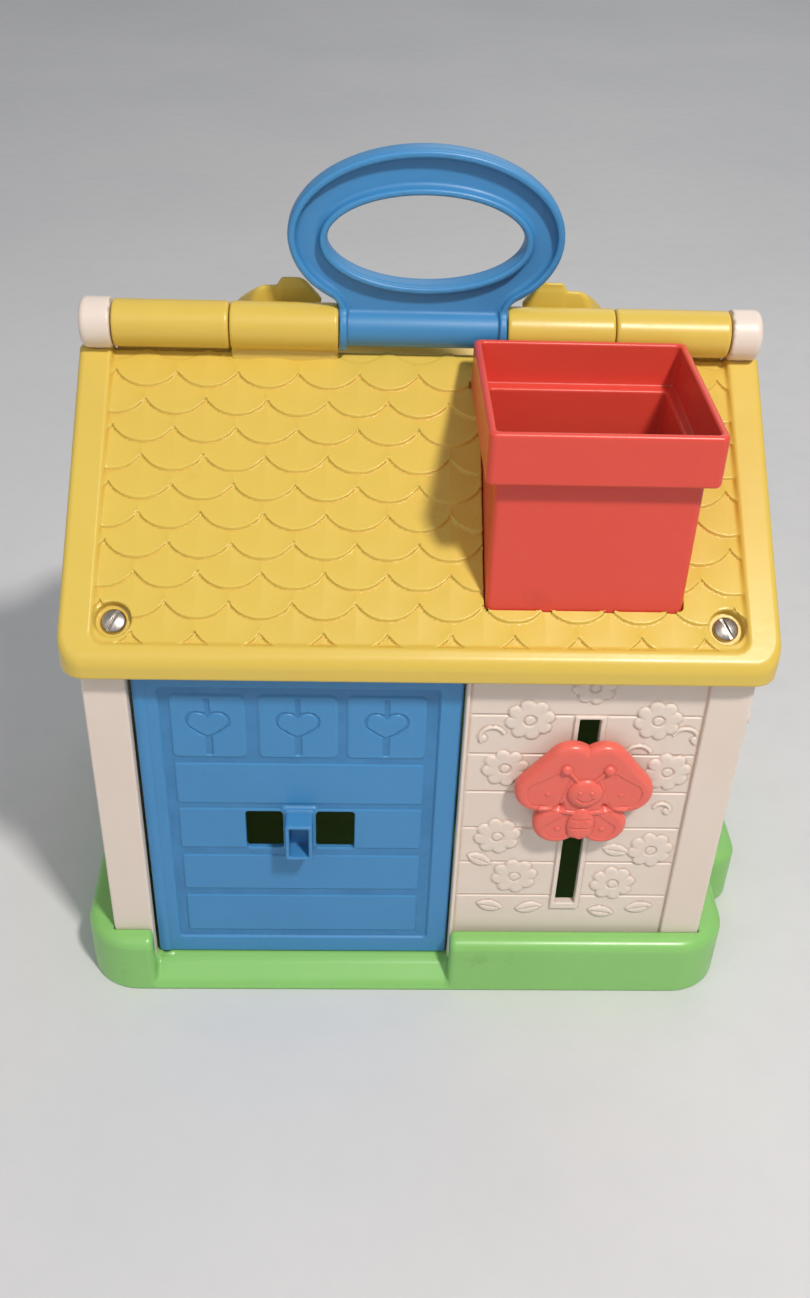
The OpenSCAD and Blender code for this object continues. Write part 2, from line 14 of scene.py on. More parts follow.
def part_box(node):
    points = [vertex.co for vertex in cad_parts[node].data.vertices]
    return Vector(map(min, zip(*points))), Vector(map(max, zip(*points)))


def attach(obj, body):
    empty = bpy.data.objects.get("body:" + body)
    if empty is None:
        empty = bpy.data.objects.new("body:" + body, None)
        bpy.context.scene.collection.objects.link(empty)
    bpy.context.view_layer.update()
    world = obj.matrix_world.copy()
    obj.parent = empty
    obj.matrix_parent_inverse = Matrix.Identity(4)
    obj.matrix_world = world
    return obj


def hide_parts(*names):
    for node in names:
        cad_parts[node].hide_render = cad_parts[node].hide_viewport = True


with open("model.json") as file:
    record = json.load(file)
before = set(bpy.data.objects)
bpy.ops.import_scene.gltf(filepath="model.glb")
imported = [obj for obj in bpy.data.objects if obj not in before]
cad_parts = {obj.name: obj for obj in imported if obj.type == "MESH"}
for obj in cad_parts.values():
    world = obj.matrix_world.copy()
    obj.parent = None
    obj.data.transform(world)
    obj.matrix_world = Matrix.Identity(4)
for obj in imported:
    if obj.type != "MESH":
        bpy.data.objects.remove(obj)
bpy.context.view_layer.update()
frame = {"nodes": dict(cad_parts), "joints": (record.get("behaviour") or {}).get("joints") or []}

MM = 0.001
COARSE = 1.0


def node_box(node):
    """Lowest and highest corner of a CAD node, in millimetres."""
    low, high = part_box(node)
    return np.array(low) / MM, np.array(high) / MM


# ---- driving dimensions, in millimetres, most of them from the frame ----

JOINTS = {j["name"]: j for j in frame["joints"]}
RIDGE_Z = JOINTS["lid_hinge"]["pos_m"][2] / MM
BASE_LOW, BASE_HIGH = node_box("base")
ROOF_LOW, ROOF_HIGH = node_box("front_roof")
WALL_LOW, WALL_HIGH = node_box("front_wall")
CHIMNEY_LOW, CHIMNEY_HIGH = node_box("chimney")
HANDLE_LOW, HANDLE_HIGH = node_box("carry_handle")
GARAGE_LOW, GARAGE_HIGH = node_box("garage_door")
SIDE_LOW, SIDE_HIGH = node_box("side_door")
FLY_LOW, FLY_HIGH = node_box("butterfly")

SLOPE = math.radians(37.2)
COS, SIN = math.cos(SLOPE), math.sin(SLOPE)
RAIL_Y = 3.2
RAIL_Z = RIDGE_Z - 8.4
KNUCKLE_R = 8.0
ROD_BORE = 2.6
ROOF_X = ROOF_HIGH[0]
EAVE_Y = -ROOF_LOW[1]
EAVE_Z = ROOF_LOW[2]
WALL_X = WALL_HIGH[0]
WALL_Y = -WALL_LOW[1]
WALL_T = 2.4
PANEL_Y = -84.8  # front face of the sunk front wall
PILLAR_X = 97.2  # inner faces of the corner pillars
FASCIA_Z = 148.5  # underside of the band above door and panel
FLOOR_Z = WALL_LOW[2]
WALL_TOP = WALL_HIGH[2]
POST_X, POST_Y = 105.0, 76.0  # the four screw posts
JAMB_X = GARAGE_HIGH[0] + 0.6
GARAGE_PIN = [v / MM for v in JOINTS["garage_door_swing"]["pos_m"]]
SIDE_PIN = [v / MM for v in JOINTS["side_door_swing"]["pos_m"]]
PIN_BORE = 1.6
PLANK_PITCH = 17.4
PLANKS = [43.9 + PLANK_PITCH * i for i in range(6)]  # heights of the grooves between planks
SLOT_X = (FLY_LOW[0] + FLY_HIGH[0]) / 2
BUTTERFLY_Z = 101.0
SCREW_AT = (100.5, 97.0)  # roof screws: x, and distance down the slope
CHIMNEY_STACK = (20.6, 86.0)
STACK_Y = (-75.0, -13.6)
DRUM_S = 34.4  # middle of the sorter drum down the slope
DRUM_R = 70.0
DRUM_BOSSES = [(58, 22), (42, 78)]  # on both sides: x, and distance down the slope


# ---- distance fields ----

def corner(u, v):
    """Distance to where u and v are both below zero."""
    outside = np.sqrt(np.maximum(u, 0) ** 2 + np.maximum(v, 0) ** 2)
    return outside + np.minimum(np.maximum(u, v), 0)


def meet(a, b, r=0.0):
    """What a and b have in common, with its new edges rounded to radius r."""
    return corner(a + r, b + r) - r if r > 0 else np.maximum(a, b)


def join(a, b, r=0.0):
    """a and b together, with a fillet of radius r between them."""
    return -meet(-a, -b, r)


def cut(a, b, r=0.0):
    """a without b, with the edges of the cut rounded to radius r."""
    return meet(a, -b, r)


def span(u, low, high):
    """Distance to the slab between two planes."""
    return np.abs(u - (low + high) / 2) - (high - low) / 2


def box(p, low, high, r=0.0):
    """Box with all its edges rounded."""
    q = [span(u, a, b) + r for u, a, b in zip(p, low, high)]
    outside = np.sqrt(sum(np.maximum(v, 0) ** 2 for v in q))
    return outside + np.minimum(np.maximum(np.maximum(q[0], q[1]), q[2]), 0) - r


def rect(u, v, low, high, r=0.0):
    """Flat rectangle with round corners."""
    return corner(span(u, low[0], high[0]) + r, span(v, low[1], high[1]) + r) - r


def disc(u, v, centre, r):
    """Flat disc."""
    return np.sqrt((u - centre[0]) ** 2 + (v - centre[1]) ** 2) - r


def ellipse(u, v, centre, a, b):
    """Distance to an ellipse, true close to its edge."""
    p, q = u - centre[0], v - centre[1]
    level = np.sqrt((p / a) ** 2 + (q / b) ** 2) + 1e-6
    steepness = np.sqrt((p / a ** 2) ** 2 + (q / b ** 2) ** 2) / level + 1e-6
    return (level - 1) / steepness


def rod(u, v, start, end, r0, r1=None):
    """Flat bar with round ends of radius r0 and r1."""
    r1 = r0 if r1 is None else r1
    du, dv = end[0] - start[0], end[1] - start[1]
    t = np.clip(((u - start[0]) * du + (v - start[1]) * dv) / (du * du + dv * dv), 0, 1)
    return np.sqrt((u - start[0] - t * du) ** 2 + (v - start[1] - t * dv) ** 2) - r0 - t * (r1 - r0)


def polygon(u, v, points):
    """Distance to a flat polygon."""
    nearest, winding = None, 1.0
    for (au, av), (bu, bv) in zip(points, points[1:] + points[:1]):
        eu, ev = bu - au, bv - av
        wu, wv = u - au, v - av
        t = np.clip((wu * eu + wv * ev) / (eu * eu + ev * ev), 0, 1)
        square = (wu - eu * t) ** 2 + (wv - ev * t) ** 2
        nearest = square if nearest is None else np.minimum(nearest, square)
        above, below, left = v >= av, v < bv, eu * wv > ev * wu
        crosses = (above & below & left) | (~above & ~below & ~left)
        winding = winding * np.where(crosses, -1.0, 1.0)
    return winding * np.sqrt(nearest)


def from_rod(y, z):
    """Distance from the axis of the hinge rod."""
    return np.sqrt(y ** 2 + (z - RIDGE_Z) ** 2)


def ramp(t):
    """Smooth step from 0 at t <= 0 to 1 at t >= 1."""
    t = np.clip(t, 0, 1)
    return t * t * (3 - 2 * t)


def plateau(d, height, edge):
    """Height of a flat-topped relief over the shape d, with sides that take edge to rise."""
    return height * ramp(0.5 - d / edge)


def pillow(d, height, reach):
    """Height of a cushion-like relief over the shape d, full at reach inside its outline."""
    t = np.clip(-d / reach, 0, 1)
    return height * np.sqrt(t * (2 - t))


def lines(low, high, step, *fine):
    """Grid lines from low to high, step apart, or closer inside each (start, end, step)."""
    low, high = low - 1.37 * step, high + 1.41 * step
    marks = sorted({low, high} | {m for f in fine for m in f[:2] if low < m < high})
    out = []
    for a, b in zip(marks, marks[1:]):
        here = min([step] + [f[2] for f in fine if f[0] <= (a + b) / 2 <= f[1]])
        out.append(np.linspace(a, b, max(1, round((b - a) / (here * COARSE))), endpoint=False))
    return np.concatenate(out + [[high]])


# ---- meshing ----

CORNERS = np.array([(i, j, k) for i in (0, 1) for j in (0, 1) for k in (0, 1)])
EDGES = [(a, b) for a in range(8) for b in range(a + 1, 8)
         if abs(CORNERS[a] - CORNERS[b]).sum() == 1]


def surface_net(field, grid):
    """Vertices and quads of the field's zero surface, one vertex per grid cell it crosses."""
    shape = tuple(len(g) for g in grid)
    axes = np.meshgrid(*[g.astype(np.float32) for g in grid], indexing="ij", sparse=True)
    value = np.ascontiguousarray(np.broadcast_to(field(*axes), shape), dtype=np.float32)
    inside = value < 0
    count = np.zeros(tuple(n - 1 for n in shape), np.uint8)
    for c in CORNERS:
        count += inside[tuple(slice(c[a], shape[a] - 1 + c[a]) for a in range(3))]
    mixed = (count > 0) & (count < 8)
    cell = np.argwhere(mixed)
    number = np.full(mixed.shape, -1, np.int32)
    number[mixed] = np.arange(len(cell))
    at = [np.stack([grid[a][cell[:, a] + c[a]] for a in range(3)], 1) for c in CORNERS]
    val = [value[tuple((cell + c).T)].astype(float) for c in CORNERS]
    total, hits = np.zeros((len(cell), 3)), np.zeros((len(cell), 1))
    for a, b in EDGES:
        cross = (val[a] < 0) != (val[b] < 0)
        t = np.where(cross, val[a] / np.where(cross, val[a] - val[b], 1.0), 0.0)
        total += np.where(cross[:, None], at[a] + t[:, None] * (at[b] - at[a]), 0.0)
        hits += cross[:, None]
    points = settle(field, total / hits, at[0], at[7])
    quads = []
    for axis in range(3):
        u, v = (axis + 1) % 3, (axis + 2) % 3
        keep = [slice(1, -1)] * 3
        keep[axis] = slice(None, -1)
        first = inside[tuple(keep)]
        keep[axis] = slice(1, None)
        second = inside[tuple(keep)]
        for outward in (True, False):
            found = np.argwhere(first & ~second if outward else ~first & second)
            ring = []
            for iu, iv in ((0, 0), (1, 0), (1, 1), (0, 1)):
                index = found.copy()
                index[:, u] += iu
                index[:, v] += iv
                ring.append(number[tuple(index.T)])
            quads.append(np.stack(ring if outward else ring[::-1], 1))
    return points, np.concatenate(quads)


def slope_of(field, p, e=0.01):
    """The field and its gradient at points p."""
    here = field(*p.T)
    ahead = [field(*(p + e * step).T) for step in np.eye(3)]
    return here, np.stack([(a - here) / e for a in ahead], 1)


def settle(field, points, low, high, rounds=2, least=0.2):
    """Moves each point onto the surface, inside its own cell."""
    for _ in range(rounds):
        here, g = slope_of(field, points)
        points = points - (here / np.maximum((g * g).sum(1), least))[:, None] * g
        points = np.clip(points, low, high)
    return points


def edge_value(field, p, reach=0.7):
    """Above 0 on edges that stand out and below 0 in corners, from -1 to 1."""
    around = sum(field(*(p + sign * reach * step).T) for step in np.eye(3) for sign in (1, -1))
    return np.clip((around - 6 * field(*p.T)) / reach ** 2 * 0.8, -1, 1)


def fill_mesh(mesh, points, loops, sizes):
    """Fills a new mesh with points and faces, each face given by its number of corners."""
    mesh.vertices.add(len(points))
    mesh.vertices.foreach_set("co", np.asarray(points, np.float32).ravel())
    mesh.loops.add(len(loops))
    mesh.loops.foreach_set("vertex_index", np.asarray(loops, np.int32))
    mesh.polygons.add(len(sizes))
    starts = np.concatenate([[0], np.cumsum(sizes)[:-1]])
    mesh.polygons.foreach_set("loop_start", starts.astype(np.int32))
    mesh.update(calc_edges=True)


def as_is(p):
    return p


def mirrored_x(p):
    return p * [-1, 1, 1]


def on_rear_slope(p):
    """From x, distance down the slope and height above the rails to the row frame."""
    x, s, n = p.T
    return np.stack([x, RAIL_Y + COS * s + SIN * n, RAIL_Z - SIN * s + COS * n], 1)


def on_front_slope(p):
    return on_rear_slope(p) * [1, -1, 1]


FLIPS = (mirrored_x, on_front_slope)


def solid(name, body, nodes, material, parts, place=as_is):
    """One object from parts, each a field and its grid, that stands for some CAD nodes."""
    all_points, all_normals, all_edges, all_loops, all_sizes = [], [], [], [], []
    base = 0
    for field, grid in parts:
        points, quads = surface_net(field, grid)
        loops, sizes = quads.ravel(), np.full(len(quads), 4)
        _, normals = slope_of(field, points)
        normals /= np.maximum(np.linalg.norm(normals, axis=1), 1e-9)[:, None]
        all_edges.append(edge_value(field, points))
        if place in FLIPS:
            loops, sizes = loops[::-1], sizes[::-1]
        all_points.append(place(points))
        all_normals.append(place(points + normals) - place(points))
        all_loops.append(loops + base)
        all_sizes.append(sizes)
        base += len(points)
    mesh = bpy.data.meshes.new(name)
    fill_mesh(mesh, np.concatenate(all_points) * MM, np.concatenate(all_loops),
              np.concatenate(all_sizes))
    mesh.polygons.foreach_set("use_smooth", [True] * len(mesh.polygons))
    mesh.attributes.new("edge", "FLOAT", "POINT").data.foreach_set(
        "value", np.concatenate(all_edges).astype(np.float32))
    mesh.normals_split_custom_set_from_vertices(np.concatenate(all_normals).tolist())
    mesh.materials.append(material)
    piece = bpy.data.objects.new(name, mesh)
    bpy.context.scene.collection.objects.link(piece)
    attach(piece, body)
    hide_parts(*nodes)
    print(name, len(mesh.vertices), "vertices")
    return piece


# ---- materials ----

def linear(red, green, blue):
    """Linear colour from sRGB values out of 255."""
    out = [c / 255 for c in (red, green, blue)]
    return [c / 12.92 if c <= 0.04045 else ((c + 0.055) / 1.055) ** 2.4 for c in out] + [1.0]


def shade(colour, factor):
    """The colour with each channel multiplied by its factor."""
    return [c * f for c, f in zip(colour[:3], factor)] + [1.0]


class Nodes:
    """A material's node tree, with a short way to add and link nodes."""

    def __init__(self, name):
        self.material = bpy.data.materials.new(name)
        self.material.use_nodes = True
        self.tree = self.material.node_tree
        self.surface = self.tree.nodes["Principled BSDF"]
        self.place = self.add("ShaderNodeTexCoord").outputs["Object"]

    def add(self, kind, inputs=(), **settings):
        node = self.tree.nodes.new(kind)
        for key, value in settings.items():
            setattr(node, key, value)
        for key, value in dict(inputs).items():
            if isinstance(value, bpy.types.NodeSocket):
                self.tree.links.new(value, node.inputs[key])
            else:
                node.inputs[key].default_value = value
        return node

    def noise(self, scale, detail=3.0, rough=0.55, stretch=(1, 1, 1), shift=(0, 0, 0)):
        """Noise from 0 to 1, scale waves per metre."""
        moved = self.add("ShaderNodeMapping",
                         {"Vector": self.place, "Scale": stretch, "Location": shift})
        return self.add("ShaderNodeTexNoise", {"Vector": moved.outputs[0], "Scale": scale,
                                               "Detail": detail, "Roughness": rough}).outputs[0]

    def remap(self, value, low, high, to_low=0.0, to_high=1.0):
        return self.add("ShaderNodeMapRange", {"Value": value, "From Min": low, "From Max": high,
                                               "To Min": to_low, "To Max": to_high}).outputs[0]

    def maths(self, operation, a, b):
        return self.add("ShaderNodeMath", {0: a, 1: b}, operation=operation, use_clamp=True).outputs[0]

    def mix(self, factor, a, b):
        return self.add("ShaderNodeMix", {0: factor, 6: a, 7: b}, data_type="RGBA").outputs[2]

    def scaled_sum(self, a, factor, b):
        node = self.add("ShaderNodeMath", {0: a, 1: factor, 2: b}, operation="MULTIPLY_ADD")
        return node.outputs[0]

    def bump(self, strength, depth, height):
        """Surface direction over a height from 0 to 1, whose full depth is in millimetres."""
        return self.add("ShaderNodeBump", {"Strength": strength, "Distance": depth * MM,
                                           "Height": height}).outputs[0]

    def link(self, socket, value):
        self.tree.links.new(value, self.surface.inputs[socket])


MOTTLE = 0.5
WEAR = 0.3
PLASTIC_IOR = 1.5


def plastic(name, colour, rough, seed, shade_and_dirt_amount, shade_and_dirt_tint=(0.62, 0.5, 0.4)):
    """Moulded toy plastic: uneven pigment, orange-peel skin, rubbed edges, smudges, and painted shade
    mixed with dirt in the corners.
    """
    n = Nodes(name)
    shift = (seed, seed * 0.7, -seed)
    clouds = n.remap(n.noise(14, 4, shift=shift), 0.35, 0.68)
    spots = n.remap(n.noise(160, 3, shift=shift), 0.4, 0.75)
    edge = n.add("ShaderNodeAttribute", attribute_name="edge").outputs["Fac"]
    broken = n.remap(n.noise(90, 5, 0.7, shift=shift), 0.38, 0.62)
    rubbed = n.maths("MULTIPLY", n.maths("MULTIPLY", n.remap(edge, 0.15, 0.9), broken), WEAR)
    # painted shade: concave corners and creases are darkened towards a brownish tint, standing in for
    # shade, together with some dirt
    corners = n.remap(edge, -0.12, -0.8)
    corner_shade_and_dirt = n.maths("MULTIPLY", corners, n.remap(broken, 0, 1, 0.45, 1.0))
    corner_shade_and_dirt = n.maths("MULTIPLY", corner_shade_and_dirt, shade_and_dirt_amount)
    base = n.mix(n.maths("MULTIPLY", clouds, MOTTLE), colour, shade(colour, (0.95, 0.9, 0.86)))
    base = n.mix(n.maths("MULTIPLY", spots, MOTTLE * 0.35), base, shade(colour, (1.05, 1.05, 1.06)))
    base = n.mix(rubbed, base, shade(colour, (1.12, 1.14, 1.2)))
    # mixes in the painted corner shade and dirt
    base = n.mix(corner_shade_and_dirt, base, shade(colour, shade_and_dirt_tint))
    smudge = n.remap(n.noise(34, 7, 0.72, shift=(seed + 5, 2, 1)), 0.63, 0.72)
    base = n.mix(n.maths("MULTIPLY", smudge, 0.3), base, shade(colour, shade_and_dirt_tint))
    n.link("Base Color", base)
    scuffs = n.remap(n.noise(55, 6, 0.75, stretch=(1, 0.35, 2.4), shift=shift), 0.5, 0.72)
    roughness = n.remap(clouds, 0, 1, rough - 0.04, rough + 0.05)
    roughness = n.maths("ADD", roughness, n.maths("MULTIPLY", scuffs, 0.1))
    n.link("Roughness", n.maths("ADD", roughness, n.maths("MULTIPLY", corner_shade_and_dirt, 0.25)))
    peel = n.noise(520, 2, 0.5, shift=shift)
    grain = n.noise(2600, 2, 0.6, shift=shift)
    n.link("Normal", n.bump(0.35, 0.06, n.scaled_sum(grain, 0.25, peel)))
    n.surface.inputs["IOR"].default_value = PLASTIC_IOR
    return n.material


def plated_steel(name):
    """Zinc-plated screw steel, turned faint rings, dulled patches, and painted shade, dark brown, in
    the slot and other hollows.
    """
    n = Nodes(name)
    patches = n.remap(n.noise(180, 5, 0.65), 0.35, 0.7)
    base = n.mix(patches, linear(196, 190, 184), linear(146, 136, 128))
    edge = n.add("ShaderNodeAttribute", attribute_name="edge").outputs["Fac"]
    # painted shade: darker brown in the slot and other concave hollows
    n.link("Base Color", n.mix(n.remap(edge, -0.1, -0.8, 0.0, 0.6), base, linear(96, 84, 72)))
    brushed = n.noise(900, 3, 0.6, stretch=(1, 1, 0.15))
    n.link("Roughness", n.scaled_sum(patches, 0.14, n.remap(brushed, 0.3, 0.7, 0.26, 0.4)))
    n.link("Normal", n.bump(0.3, 0.04, brushed))
    n.surface.inputs["Metallic"].default_value = 1.0
    return n.material


# fifth value: strength of the painted shade and dirt in the corners; sixth, where given: their tint
YELLOW = plastic("yellow_plastic", linear(219, 189, 84), 0.31, 1.3, 0.5, (0.93, 0.7, 0.42))
CREAM = plastic("cream_plastic", linear(228, 213, 201), 0.42, 2.1, 0.6, (0.7, 0.52, 0.42))
RED = plastic("red_plastic", linear(222, 75, 60), 0.33, 3.7, 0.3)
BLUE = plastic("blue_plastic", linear(65, 137, 192), 0.36, 4.9, 0.5, (0.5, 0.55, 0.62))
GREEN = plastic("green_plastic", linear(137, 198, 110), 0.32, 6.2, 0.4)
CORAL = plastic("coral_plastic", linear(234, 106, 92), 0.28, 7.4, 0.4)
STEEL = plated_steel("plated_steel")


# ---- base ----

RIB_PITCH = 27.2
RIB_T = 1.8
CELL_TOP = 7.6
STEP_Y = 47.0
RECESS_GAP = 0.3  # between the walls' foot and the base's recess
RAMP = [(-120, 1.8), (-93.6, 2.6), (-85.2, FLOOR_Z)]  # y, z from the ramp's foot to its top


def underside_cells(x, y, z):
    """The square pockets between the ribs under the base."""
    u = span(np.mod(x, RIB_PITCH), RIB_T / 2, RIB_PITCH - RIB_T / 2)
    v = span(np.mod(y, RIB_PITCH), RIB_T / 2, RIB_PITCH - RIB_T / 2)
    cell = meet(u, v, 1.0)
    area = rect(x, y, (-4 * RIB_PITCH, -3 * RIB_PITCH), (4 * RIB_PITCH, 3 * RIB_PITCH))
    return meet(np.maximum(cell, area), z - CELL_TOP, 0.8)


def base_field(x, y, z):
    main = rect(x, y, (BASE_LOW[0], BASE_LOW[1]), (-BASE_LOW[0], BASE_HIGH[1]), 20)
    step = rect(x, y, (0, -STEP_Y), (BASE_HIGH[0], STEP_Y), 12)
    body = meet(join(main, step, 4), z - BASE_HIGH[2], 4.5)
    reach_x, reach_y = WALL_X + RECESS_GAP, WALL_Y + RECESS_GAP
    recess = box((x, y, z), (-reach_x, -reach_y, FLOOR_Z), (reach_x, reach_y, 60), 0.6)
    body = cut(body, recess, 0.5)
    profile = polygon(y, z, [(-85.4, 60), (-120, 60)] + RAMP)
    notch = meet(span(x, GARAGE_LOW[0] - 0.7, GARAGE_HIGH[0] + 0.9), profile, 1.5)
    body = cut(body, notch, 2.2)
    body = cut(body, underside_cells(x, y, z), 0.5)
    for at in [(px, py) for px in (-POST_X, POST_X) for py in (-POST_Y, POST_Y)]:
        post = meet(disc(x, y, at, 6), z - FLOOR_Z, 0.4)
        body = cut(join(body, post, 0.8), meet(disc(x, y, at, 4.2), z - 3.0), 0.4)
        body = cut(body, disc(x, y, at, 1.9))
    socket = meet(disc(x, y, GARAGE_PIN, 4.0), z - FLOOR_Z, 0.4)
    body = cut(join(body, socket, 0.5), meet(disc(x, y, GARAGE_PIN, PIN_BORE), 3.0 - z))
    return meet(body, -z, 0.8)


def base_piece():
    grid = (lines(BASE_LOW[0], BASE_HIGH[0], 1.7, (-124, -111, 0.9), (-99, -94, 0.8),
                  (13, 19, 0.8), (111, 138, 0.9)),
            lines(BASE_LOW[1], BASE_HIGH[1], 1.7, (-95, -84, 0.8), (85, 95, 0.9)),
            lines(0, BASE_HIGH[2], 1.1, (20, 27, 0.65), (6, 11, 0.9)))
    solid("base_shell", "house", ["base"], GREEN, [(base_field, grid)])


# ---- walls ----

def plank_grooves(z):
    """Depth, from 0 to 1, of the grooves between the wall planks."""
    nearest = np.abs(np.mod(z - PLANKS[0] + PLANK_PITCH / 2, PLANK_PITCH) - PLANK_PITCH / 2)
    return ramp(1.5 - nearest / 0.45) * (z > PLANKS[0] - 5) * (z < PLANKS[-1] + 5)


def plank_lines(low, high, step):
    """Grid lines that come close together at the grooves between planks."""
    return lines(low, high, step, *[(p - 1.0, p + 1.0, 0.33) for p in PLANKS])


PETALS = 8
FLOWERS = [(37.9, 129.0, 8.6), (81.7, 129.2, 8.4), (31.0, 107.3, 8.2), (88.2, 106.2, 8.4),
           (30.7, 74.6, 8.6), (87.6, 68.2, 8.4), (38.5, 54.2, 8.6), (75.7, 50.8, 8.4),
           (58.6, 143.6, 7.6)]  # x, z, radius
LEAVES = [(24.9, 62.9, -28), (30.3, 38.5, -14), (45.2, 37.6, 14), (73.0, 35.6, -10),
          (87.3, 38.0, 12), (74.7, 68.0, -12)]  # x, z, turn in degrees
CURLS = [(25.6, 121.4, 4.2, 1), (76.8, 113.6, 4.4, 1), (88.6, 88.2, 3.0, -1),
         (92.0, 121.5, 4.4, -1)]  # x, z, radius, side of the open end


def flower_relief(x, z):
    """Height of the embossed flowers, leaves and curls on the front panel."""
    height = np.zeros(np.broadcast(x, z).shape)
    for fx, fz, r in FLOWERS:
        petals = disc(x, z, (fx, fz), 0.66 * r)
        for i in range(PETALS):
            a = math.tau * (i + 0.25) / PETALS
            tip = (fx + 0.69 * r * math.cos(a), fz + 0.69 * r * math.sin(a))
            petals = join(petals, disc(x, z, tip, 0.31 * r), 0.2)
        ring = np.abs(disc(x, z, (fx, fz), 0.24 * r))
        height = np.maximum(height, pillow(petals, 0.85, 1.5) - 0.4 * ramp(1.4 - ring / 0.5))
    for lx, lz, degrees in LEAVES:
        a = math.radians(degrees)
        u = (x - lx) * math.cos(a) + (z - lz) * math.sin(a)
        v = (z - lz) * math.cos(a) - (x - lx) * math.sin(a)
        leaf = np.maximum(disc(u, v, (0, -3.4), 6.2), disc(u, v, (0, 3.4), 6.2))
        vein = 0.3 * ramp(1.3 - np.abs(v) / 0.4) * (leaf < -0.8)
        height = np.maximum(height, pillow(leaf, 0.75, 1.2) - vein)
    for cx, cz, r, side in CURLS:
        arc = np.abs(disc(x, z, (cx, cz), r)) - 0.75
        open_below = (z - cz) < side * 0.5 * (x - cx) - 0.5
        stroke = np.where(open_below, np.abs(disc(x, z, (cx - side * r, cz), 1.2)), arc)
        ball = disc(x, z, (cx - side * (r - 0.9), cz - 0.6), 1.5)
        height = np.maximum(height, pillow(np.minimum(stroke, ball), 0.8, 0.8))
    return height


def front_wall_field(x, y, z):
    """Front wall: relief on the panel's front face only, pillars, jamb, fascia and openings."""
    p = (x, y, z)
    back = PANEL_Y + WALL_T
    slot_frame = rect(x, z, (SLOT_X - 5.4, 37.5), (SLOT_X + 5.4, 131.0), 0.6)
    relief = flower_relief(x, z) * ramp(0.5 + slot_frame / 1.2)
    relief = relief - 0.4 * plank_grooves(z) * ramp(1.0 - relief / 0.3) * ramp(slot_frame / 0.8)
    inset = rect(x, z, (18.0, 24.0), (96.4, 148.0), 0.5)
    relief = relief * ramp(0.5 - inset / 0.8)
    relief = relief * (y < PANEL_Y + WALL_T / 2)
    wall = meet(span(y + relief, PANEL_Y, back), span(x, -WALL_X, WALL_X), 0.4)
    wall = meet(wall, span(z, FLOOR_Z, WALL_TOP), 0.4)
    for x0, x1 in ((-WALL_X, -PILLAR_X), (JAMB_X, JAMB_X + 1.6), (PILLAR_X, WALL_X)):
        wall = join(wall, box(p, (x0, -WALL_Y, FLOOR_Z), (x1, back, WALL_TOP), 0.9), 0.4)
    wall = join(wall, box(p, (-WALL_X, -WALL_Y, FASCIA_Z), (WALL_X, back, WALL_TOP), 0.7), 0.4)
    wall = join(wall, meet(slot_frame, span(y, PANEL_Y - 0.9, PANEL_Y + 1), 0.35), 0.25)
    wall = join(wall, box(p, (-PILLAR_X, -WALL_Y, FASCIA_Z), (-89.0, -77.5, WALL_TOP), 0.6), 0.4)
    wall = cut(wall, rect(x, z, (SLOT_X - 3.7, 40.5), (SLOT_X + 3.7, 129.8), 0.5), 0.4)
    wall = cut(wall, rect(x, z, (-PILLAR_X, 0), (JAMB_X, FASCIA_Z)), 0.4)
    return cut(wall, meet(disc(x, y, GARAGE_PIN, PIN_BORE), z - 154), 0.1)


def front_wall_piece():
    grooves = [(p - 1.0, p + 1.0, 0.36) for p in PLANKS]
    grid = (lines(-WALL_X, WALL_X, 3.0, (-99, -88, 0.8), (13, 99, 0.62), (108, 113, 0.8),
                  (-113, -110, 0.8)),
            lines(-WALL_Y, -77.5, 1.0, (-87.2, -82, 0.42)),
            lines(FLOOR_Z, WALL_TOP, 1.4, (26, 149.5, 0.62), *grooves))
    solid("front_wall_shell", "house", ["front_wall"], CREAM,
          [(front_wall_field, grid)])


def rear_wall_field(x, y, z):
    """Rear wall: plank grooves on its outer face, between two smooth corner strips."""
    inside = WALL_Y - WALL_T
    groove = 0.45 * plank_grooves(z) * (y > 85.2)
    wall = meet(span(y + groove, inside, WALL_Y), span(x, -WALL_X, WALL_X), 0.9)
    wall = meet(wall, span(z, FLOOR_Z, WALL_TOP), 0.5)
    for side in (-1, 1):
        strip = box((side * x, y, z), (98, inside, FLOOR_Z), (WALL_X, WALL_Y, WALL_TOP), 0.9)
        wall = join(wall, strip, 0.3)
    return wall


def rear_wall_piece():
    grid = (lines(-WALL_X, WALL_X, 3.0, (-113, -96, 0.8), (96, 113, 0.8)),
            lines(WALL_Y - WALL_T, WALL_Y, 0.5), plank_lines(FLOOR_Z, WALL_TOP, 2.0))
    solid("rear_wall_shell", "house", ["rear_wall"], CREAM, [(rear_wall_field, grid)])


GABLE_GAP = 6.6  # how far the gable's slopes lie below the rails
GABLE_IN = WALL_X - 2.5
TAB_Y = 2.6  # half depth of the tab that carries the ridge cap
DOORWAY = ((-30.5, 26.6), (30.5, 126.0))  # y, z of its lower and upper corner
EAR = (106.0, 116.5, 8.6)  # ridge cap: its two ends and its radius


def below_roof(y, drop):
    """Height at y of a line drop below the rails' slope."""
    return RAIL_Z - (abs(y) - RAIL_Y) * math.tan(SLOPE) - drop


